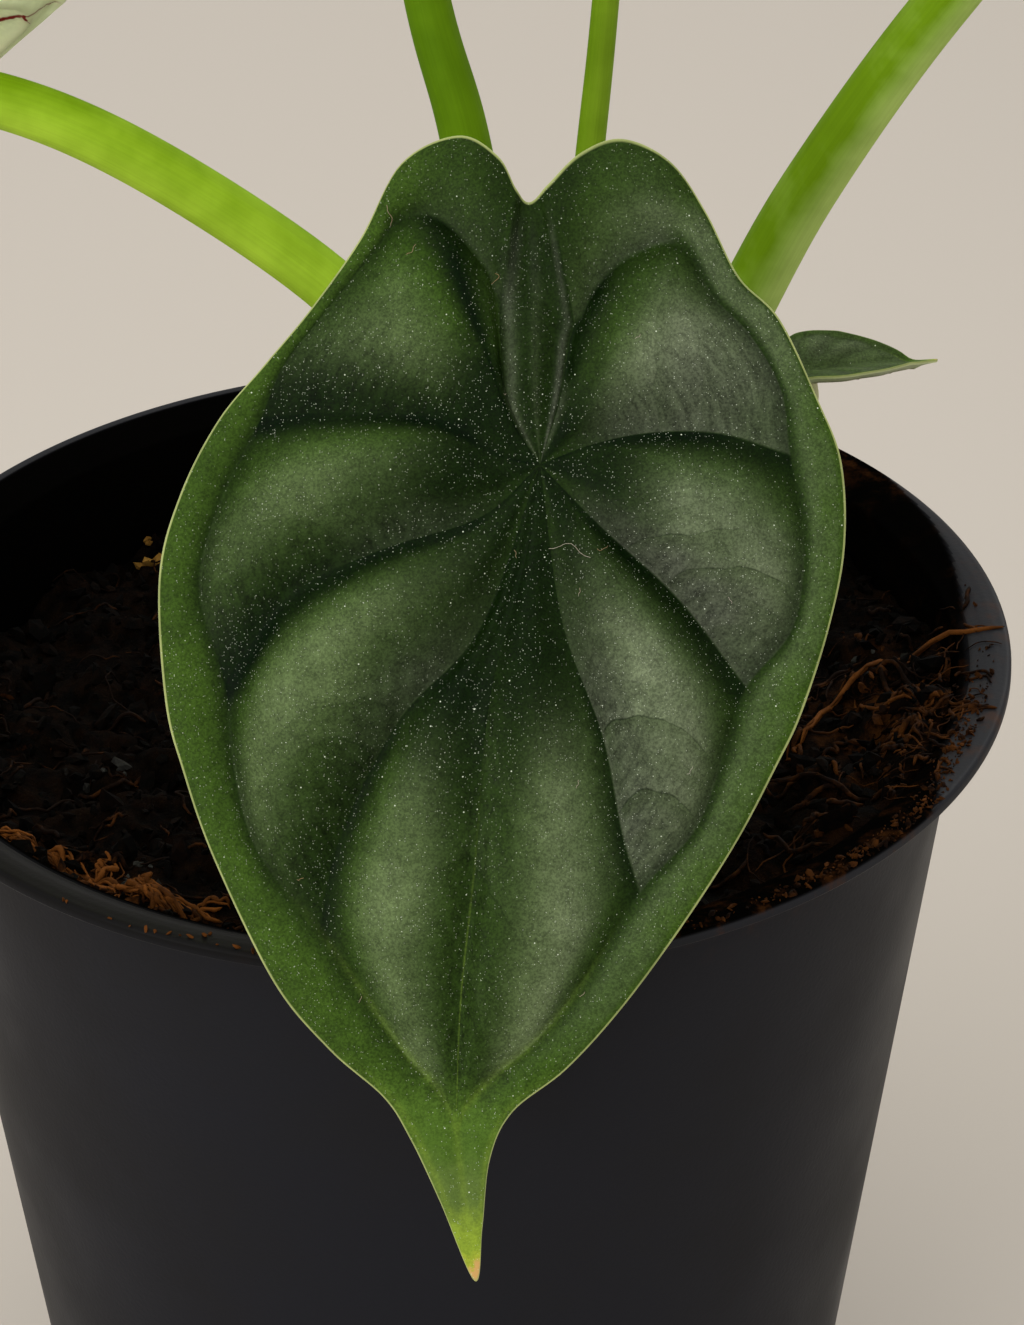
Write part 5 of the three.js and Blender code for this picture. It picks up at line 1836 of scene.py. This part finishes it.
def bladeMaterial():
    look = bladeLook
    material, tree, shader = startMaterial("scaleLeaf", 0.05)
    broad, middle, fine = (noise(tree, *look[name]) for name in ("broad", "middle", "fine"))
    puckers = noise(tree, *look["puckers"], attribute(tree, "panelPlace", "Vector"))
    tip = plus(tree, attribute(tree, "tipReach"), swing(tree, middle, -0.7, 0.7))
    shade = attribute(tree, "shade")

    def toned(name, source=broad):
        amount = swing(tree, source, *look["swings"][name])
        return maths(tree, "MULTIPLY", attribute(tree, name), amount, clamp=True)

    # millimetres past the last wrinkle and before the next one
    scale = attribute(tree, "wrinkleScale")
    past = times(tree, maths(tree, "FRACT", attribute(tree, "wrinklePhase")), scale)
    before = maths(tree, "SUBTRACT", scale, past)
    # a painted highlight before each wrinkle, a painted shadow after it and painted shade in its crease
    wrinkle = toned("wrinkleTone")
    glow = times(tree, wrinkle, remap(tree, before, *look["glow"]))
    shadow = times(tree, wrinkle, remap(tree, past, *look["shadow"]))
    creaseShade = times(tree, wrinkle, remap(tree, maths(tree, "MINIMUM", past, before), *look["creaseShade"]))

    # the upper face, layer on layer: the leaf's own tints with painted sheen, reflection,
    # highlight, shadow and shade
    silverAndSheenColour = mixColour(tree, attribute(tree, "rightTone"), look["silverAndSheen"], look["silverAndSheenRight"])
    line = mixColour(tree, attribute(tree, "greyLine"), look["veinGreen"], look["plumReflection"])
    line = mixColour(tree, remap(tree, tip, *look["tipLine"], 0.0, 0.5), line, look["tipGreen"])
    colour = mixColour(tree, toned("fresh"), look["body"], look["fresh"])
    layers = [
        (plus(tree, toned("silverAndSheen"), glow, clamp=True), silverAndSheenColour),
        (toned("plumReflection"), look["plumReflection"]),
        (shadow, look["body"]),
        (creaseShade, look["valley"]),
        (toned("bandTone"), look["bandGreen"]),
        (toned("shade"), look["valley"]),
        *[(remap(tree, tip, *place), look[name]) for name, place in look["tipFrom"].items()],
        (toned("lineTone", middle), line),
    ]
    for amount, layer in layers:
        colour = mixColour(tree, amount, colour, layer)

    # a fine mottle with the painted shading of the puckers, calmer on the tip
    mottle = plus(tree, swing(tree, middle, 0.87, 1.13), remap(tree, fine, *look["fineSwing"]))
    folds = times(tree, attribute(tree, "puckerShade"), remap(tree, puckers, *look["puckerSwing"]))
    mottle = maths(tree, "SUBTRACT", plus(tree, mottle, folds), 1.0)
    mottle = plus(tree, times(tree, mottle, remap(tree, tip, *look["tipCalm"], 1.0, 0.4)), 1.0)
    colour = brightened(tree, colour, mottle)
    colour = mixColour(tree, remap(tree, tip, *look["tanFrom"]), colour, look["tipTan"])
    colour = mixColour(tree, toned("edgeTone"), colour, look["edgeLine"])

    # dust, which crowds in the folds
    crowd = times(
        tree, remap(tree, shade, 0.0, 0.9, 0.5, 0.85), remap(tree, broad, 0.3, 0.6, 0.4, 1.0),
        attribute(tree, "dusty"))
    dust = 0.0
    for grain, radius, share, pale in look["specks"]:
        layer = times(tree, specks(tree, grain, radius, times(tree, crowd, share)), pale)
        dust = plus(tree, layer, dust, clamp=True)
    colour = mixColour(tree, dust, colour, look["dustColour"])

    # the underside with its veins, painted paler than its own colour for the light that shines through
    under = mixColour(tree, toned("veinTone", middle), look["underside"], look["undersideVein"])
    for name, width in look["lobeVeins"]:
        place = addNode(tree, "ShaderNodeSeparateXYZ", {0: attribute(tree, name, "Vector")}).node.outputs
        thinning = remap(tree, place["Y"], *look["lobeVeinThins"], width, 0.4 * width)
        near = maths(tree, "DIVIDE", maths(tree, "ABSOLUTE", place["X"]), thinning)
        inked = times(
            tree, remap(tree, near, 1.1, 0.4), place["Z"],
            remap(tree, place["Y"], *look["lobeVeinStart"]), remap(tree, place["Y"], *look["lobeVeinEnd"]),
            remap(tree, place["Y"], *look["lobeVeinThins"], 1.0, 0.6))
        under = mixColour(tree, inked, under, look["undersideVein"])
    under = brightened(tree, under, swing(tree, middle, 0.95, 1.05))
    colour = mixColour(tree, attribute(tree, "below"), colour, under)
    normal = bump(tree, noise(tree, *look["skin"]), *look["bump"])
    finishMaterial(tree, shader, colour, swing(tree, middle, *look["roughness"]), normal)
    return material


# Bits of lint on the upper face: for each, where it lies on the flat blade, its heading,
# its length and how far it curls. A point on it is the mean of the blade's points, weighted
# by a bell round its own place on the flat blade, and raised a little.
lint = {
    "places": [
        (-5.4, 17.5, 1.2, 1.6, 1.4), (-13.8, 19.4, 0.9, 1.7, 0.5), (-16.2, 22.8, 1.9, 2.4, 0.3),
        (-3.9, 6.4, 0.2, 0.9, 0.3), (3.6, -7.3, 2.9, 5.2, 0.6), (6.6, -7.6, 0.3, 1.4, 0.8),
        (-1.6, -8.7, 1.8, 1.0, 0.4), (4.8, -11.8, 1.4, 0.9, 0.2), (8.4, 12.8, 0.6, 0.8, 0.4),
        (16.7, -28.1, 1.0, 1.1, 0.6), (-19.9, -41.9, 0.4, 0.9, 0.5), (-13.2, -53.2, 1.2, 0.8, 0.5),
        (8.1, -50.9, 0.7, 0.8, 0.4), (6.1, -30.2, 1.3, 1.0, 0.3), (19.2, -11.5, 2.2, 0.9, 0.3),
    ],
    "steps": 9,
    "radius": 0.024,
    "raised": 0.08,
    "blend": 0.4,
    "wave": 0.5,
    "dark": (0.32, 0.22, 0.11),
    "light": (0.46, 0.44, 0.36),
}


def addLint(leaf, flat, points, normals):
    steps = lint["steps"]
    x, y, heading, length, curl = np.array(lint["places"]).T[..., None]
    share = np.linspace(-0.5, 0.5, steps)
    angle = heading + 2 * curl * share + lint["wave"] * np.sin(3 * math.pi * share + 5 * x)
    reach = np.cumsum(np.stack([np.cos(angle), np.sin(angle)], -1), axis=1) * length[..., None] / steps
    middle = reach[:, steps // 2:steps // 2 + 1]
    wanted = np.stack([x, y], -1) + reach - middle
    distance = ((wanted[:, :, None] - flat) ** 2).sum(-1)
    weight = np.exp(-(distance - distance.min(-1, keepdims=True)) / lint["blend"] ** 2)
    weight = weight / weight.sum(-1, keepdims=True)
    paths = weight @ points + lint["raised"] * unit(weight @ normals)
    radii = np.full(paths.shape[:2], lint["radius"])
    tints = np.linspace(0, 1, len(paths)) % 0.34 * 3
    material = tintMaterial("lintFibre", lint["dark"], lint["light"], 0.8, 900.0)
    addTubes("leaf_lint", leaf["name"] + "_blade_tissue", paths, radii, 5, material, tints)


# The blade's rings with its two poles: the joint above and the middle of the underside.
def addBlade(leaf, material):
    def turned(vectors):
        return vectors[..., :1] * x + vectors[..., 1:2] * y + vectors[..., 2:] * z

    x, y, z = bladeAxes(leaf)
    joint = np.array(leaf["joint"], float)
    s = bladeSurface(leaf)
    height, wrinkles = bladeHeights(leaf, s)
    depth, rib, lobeVeins = bladeDepth(leaf, s)
    points, normal = bendBlade(leaf, s["flat"], height)
    points = turned(points - normal * depth[..., None]) + joint
    if leaf["name"] == "main_leaf":
        upper = np.broadcast_to(s["down"] == 0, s["flat"].shape[:2])
        addLint(leaf, s["flat"][upper], points[upper], turned(normal)[upper])
    rings = points.transpose(1, 0, 2)
    attributes = {}
    for name, values in bladeTones(leaf, s, rib, lobeVeins, wrinkles).items():
        ringValues = np.moveaxis(values, 1, 0)
        ends = np.stack([ringValues[0].mean(0), ringValues[-1].mean(0)])
        attributes[name] = np.concatenate([ringValues.reshape(-1, *values.shape[2:]), ends])
    under = joint - z * (blade["thickness"] + blade["ribDepth"] * math.sqrt(leaf["scale"]))
    allPoints = np.vstack([rings.reshape(-1, 3), joint, under])
    faces = ringFaces(*rings.shape[:2], flip=not leaf["mirror"])
    name = leaf["name"] + "_lamina"
    mesh = buildMesh(name, allPoints, faces, material, attributes)
    addPiece(name, mesh, leaf["name"] + "_blade_tissue", leaf["name"] + "_blade")


petiole = {
    "steps": 150,
    "sides": 44,
    "crownRing": 6.4,
    "footHeight": 97.5,
    "belowBlade": 0.9,
    "clearOfBlade": 0.5,
    "endFrom": 0.85,
    "footSwell": 0.12,
    # two sheath edges near the foot: angle from the crown's side, width, height, where they end
    "sheathLean": 0.6,
    "sheathWidth": 0.13,
    "sheathHeight": 0.1,
    "sheathEnd": (0.3, 0.12),
    "ribCount": 9,
    "ribHeight": 0.012,
    # the side of the skin facing this way is painted paler, as the light falls
    "paintedLightTowards": (0.55, -0.15, -0.75),
    "streaks": (1.0, 3.0, 0.6),
    "cloud": (160.0, 3.0),
    "bump": (0.1, 0.0002),
}


# Smooth, juicy skin with fine streaks along the petiole, painted pale on the side that faces
# down to the front right, as the light falls, and deep on the other.
def petioleMaterial(leaf):
    material, tree, shader = startMaterial(leaf["name"] + "_skin", 0.04)
    streaks = noise(tree, *petiole["streaks"], attribute(tree, "grain", "Vector"))
    cloud = noise(tree, *petiole["cloud"])
    side = plus(tree, attribute(tree, "paintedLitSide"), swing(tree, cloud, -0.12, 0.12), clamp=True)
    colour = mixColour(tree, side, leaf["deep"], leaf["pale"])
    tone = plus(tree, swing(tree, streaks, 0.95, 1.05), swing(tree, cloud, -0.06, 0.06))
    normal = bump(tree, streaks, *petiole["bump"])
    finishMaterial(tree, shader, brightened(tree, colour, tone), 0.6, normal)
    return material


# The petiole's centre line is a spline from its foot in the rhizome to the blade. Its radius
# goes evenly from one end to the other, swells at the foot, and carries two low sheath edges.
# Its end is cut off level under the blade.
def addPetiole(leaf):
    steps, sides = petiole["steps"], petiole["sides"]
    share = np.linspace(0, 1, steps)
    face = bladeAxes(leaf)[2]
    ring = 0.0 if leaf["foot"] is None else petiole["crownRing"]
    turn = math.radians(leaf["foot"] or 0)
    footX = rhizome["x"] + ring * math.cos(turn)
    footY = rhizome["y"] + ring * math.sin(turn)
    end = np.array(leaf["joint"], float) - face * petiole["belowBlade"]
    path = splineAt([(footX, footY, petiole["footHeight"]), *leaf["petiole"], end], share)
    thick = leaf["radii"][0] + (leaf["radii"][1] - leaf["radii"][0]) * share
    thick = thick * (1 + petiole["footSwell"] * np.exp(-6 * share))
    angles = anglesRound(sides)
    fromCrown = angles - math.atan2(-math.sin(turn), -math.cos(turn))
    fade = smooth(*petiole["sheathEnd"], share)[:, None]
    edges = sum(bell((fromCrown - lean + math.pi) % (2 * math.pi) - math.pi, 0, petiole["sheathWidth"])
                for lean in (-petiole["sheathLean"], petiole["sheathLean"]))
    ribs = petiole["ribHeight"] * np.cos(petiole["ribCount"] * angles)
    shape = 1 + ribs + petiole["sheathHeight"] * fade * edges
    rings, outward = (values[0] for values in tubeRings(path[None], thick[None], sides, shape[None]))
    above = np.maximum((rings - leaf["joint"]) @ face + petiole["clearOfBlade"], 0)
    rings = rings - (above * (share > petiole["endFrom"])[:, None])[..., None] * face
    # painted light: the side facing down to the front right is paler
    paintedLitSide = smooth(leaf["paleFrom"], 0.9, outward @ unit(petiole["paintedLightTowards"]))
    grain = np.stack(np.broadcast_arrays(9 * np.cos(angles), 9 * np.sin(angles), 5 * share[:, None]), -1)
    attributes = {
        "paintedLitSide": np.concatenate([paintedLitSide.ravel(), [0.5, 0.5]]),
        "grain": np.vstack([grain.reshape(-1, 3), [[0, 0, 0], [0, 0, 5]]]),
    }
    name = leaf["name"] + "_stalk"
    mesh = buildMesh(name, withPoles(rings), ringFaces(steps, sides), petioleMaterial(leaf), attributes)
    addPiece(name, mesh, leaf["name"] + "_petiole_skin", leaf["name"] + "_petiole")


leafMaterial = bladeMaterial()
for leaf in leaves:
    addPetiole(leaf)
    addBlade(leaf, leafMaterial)
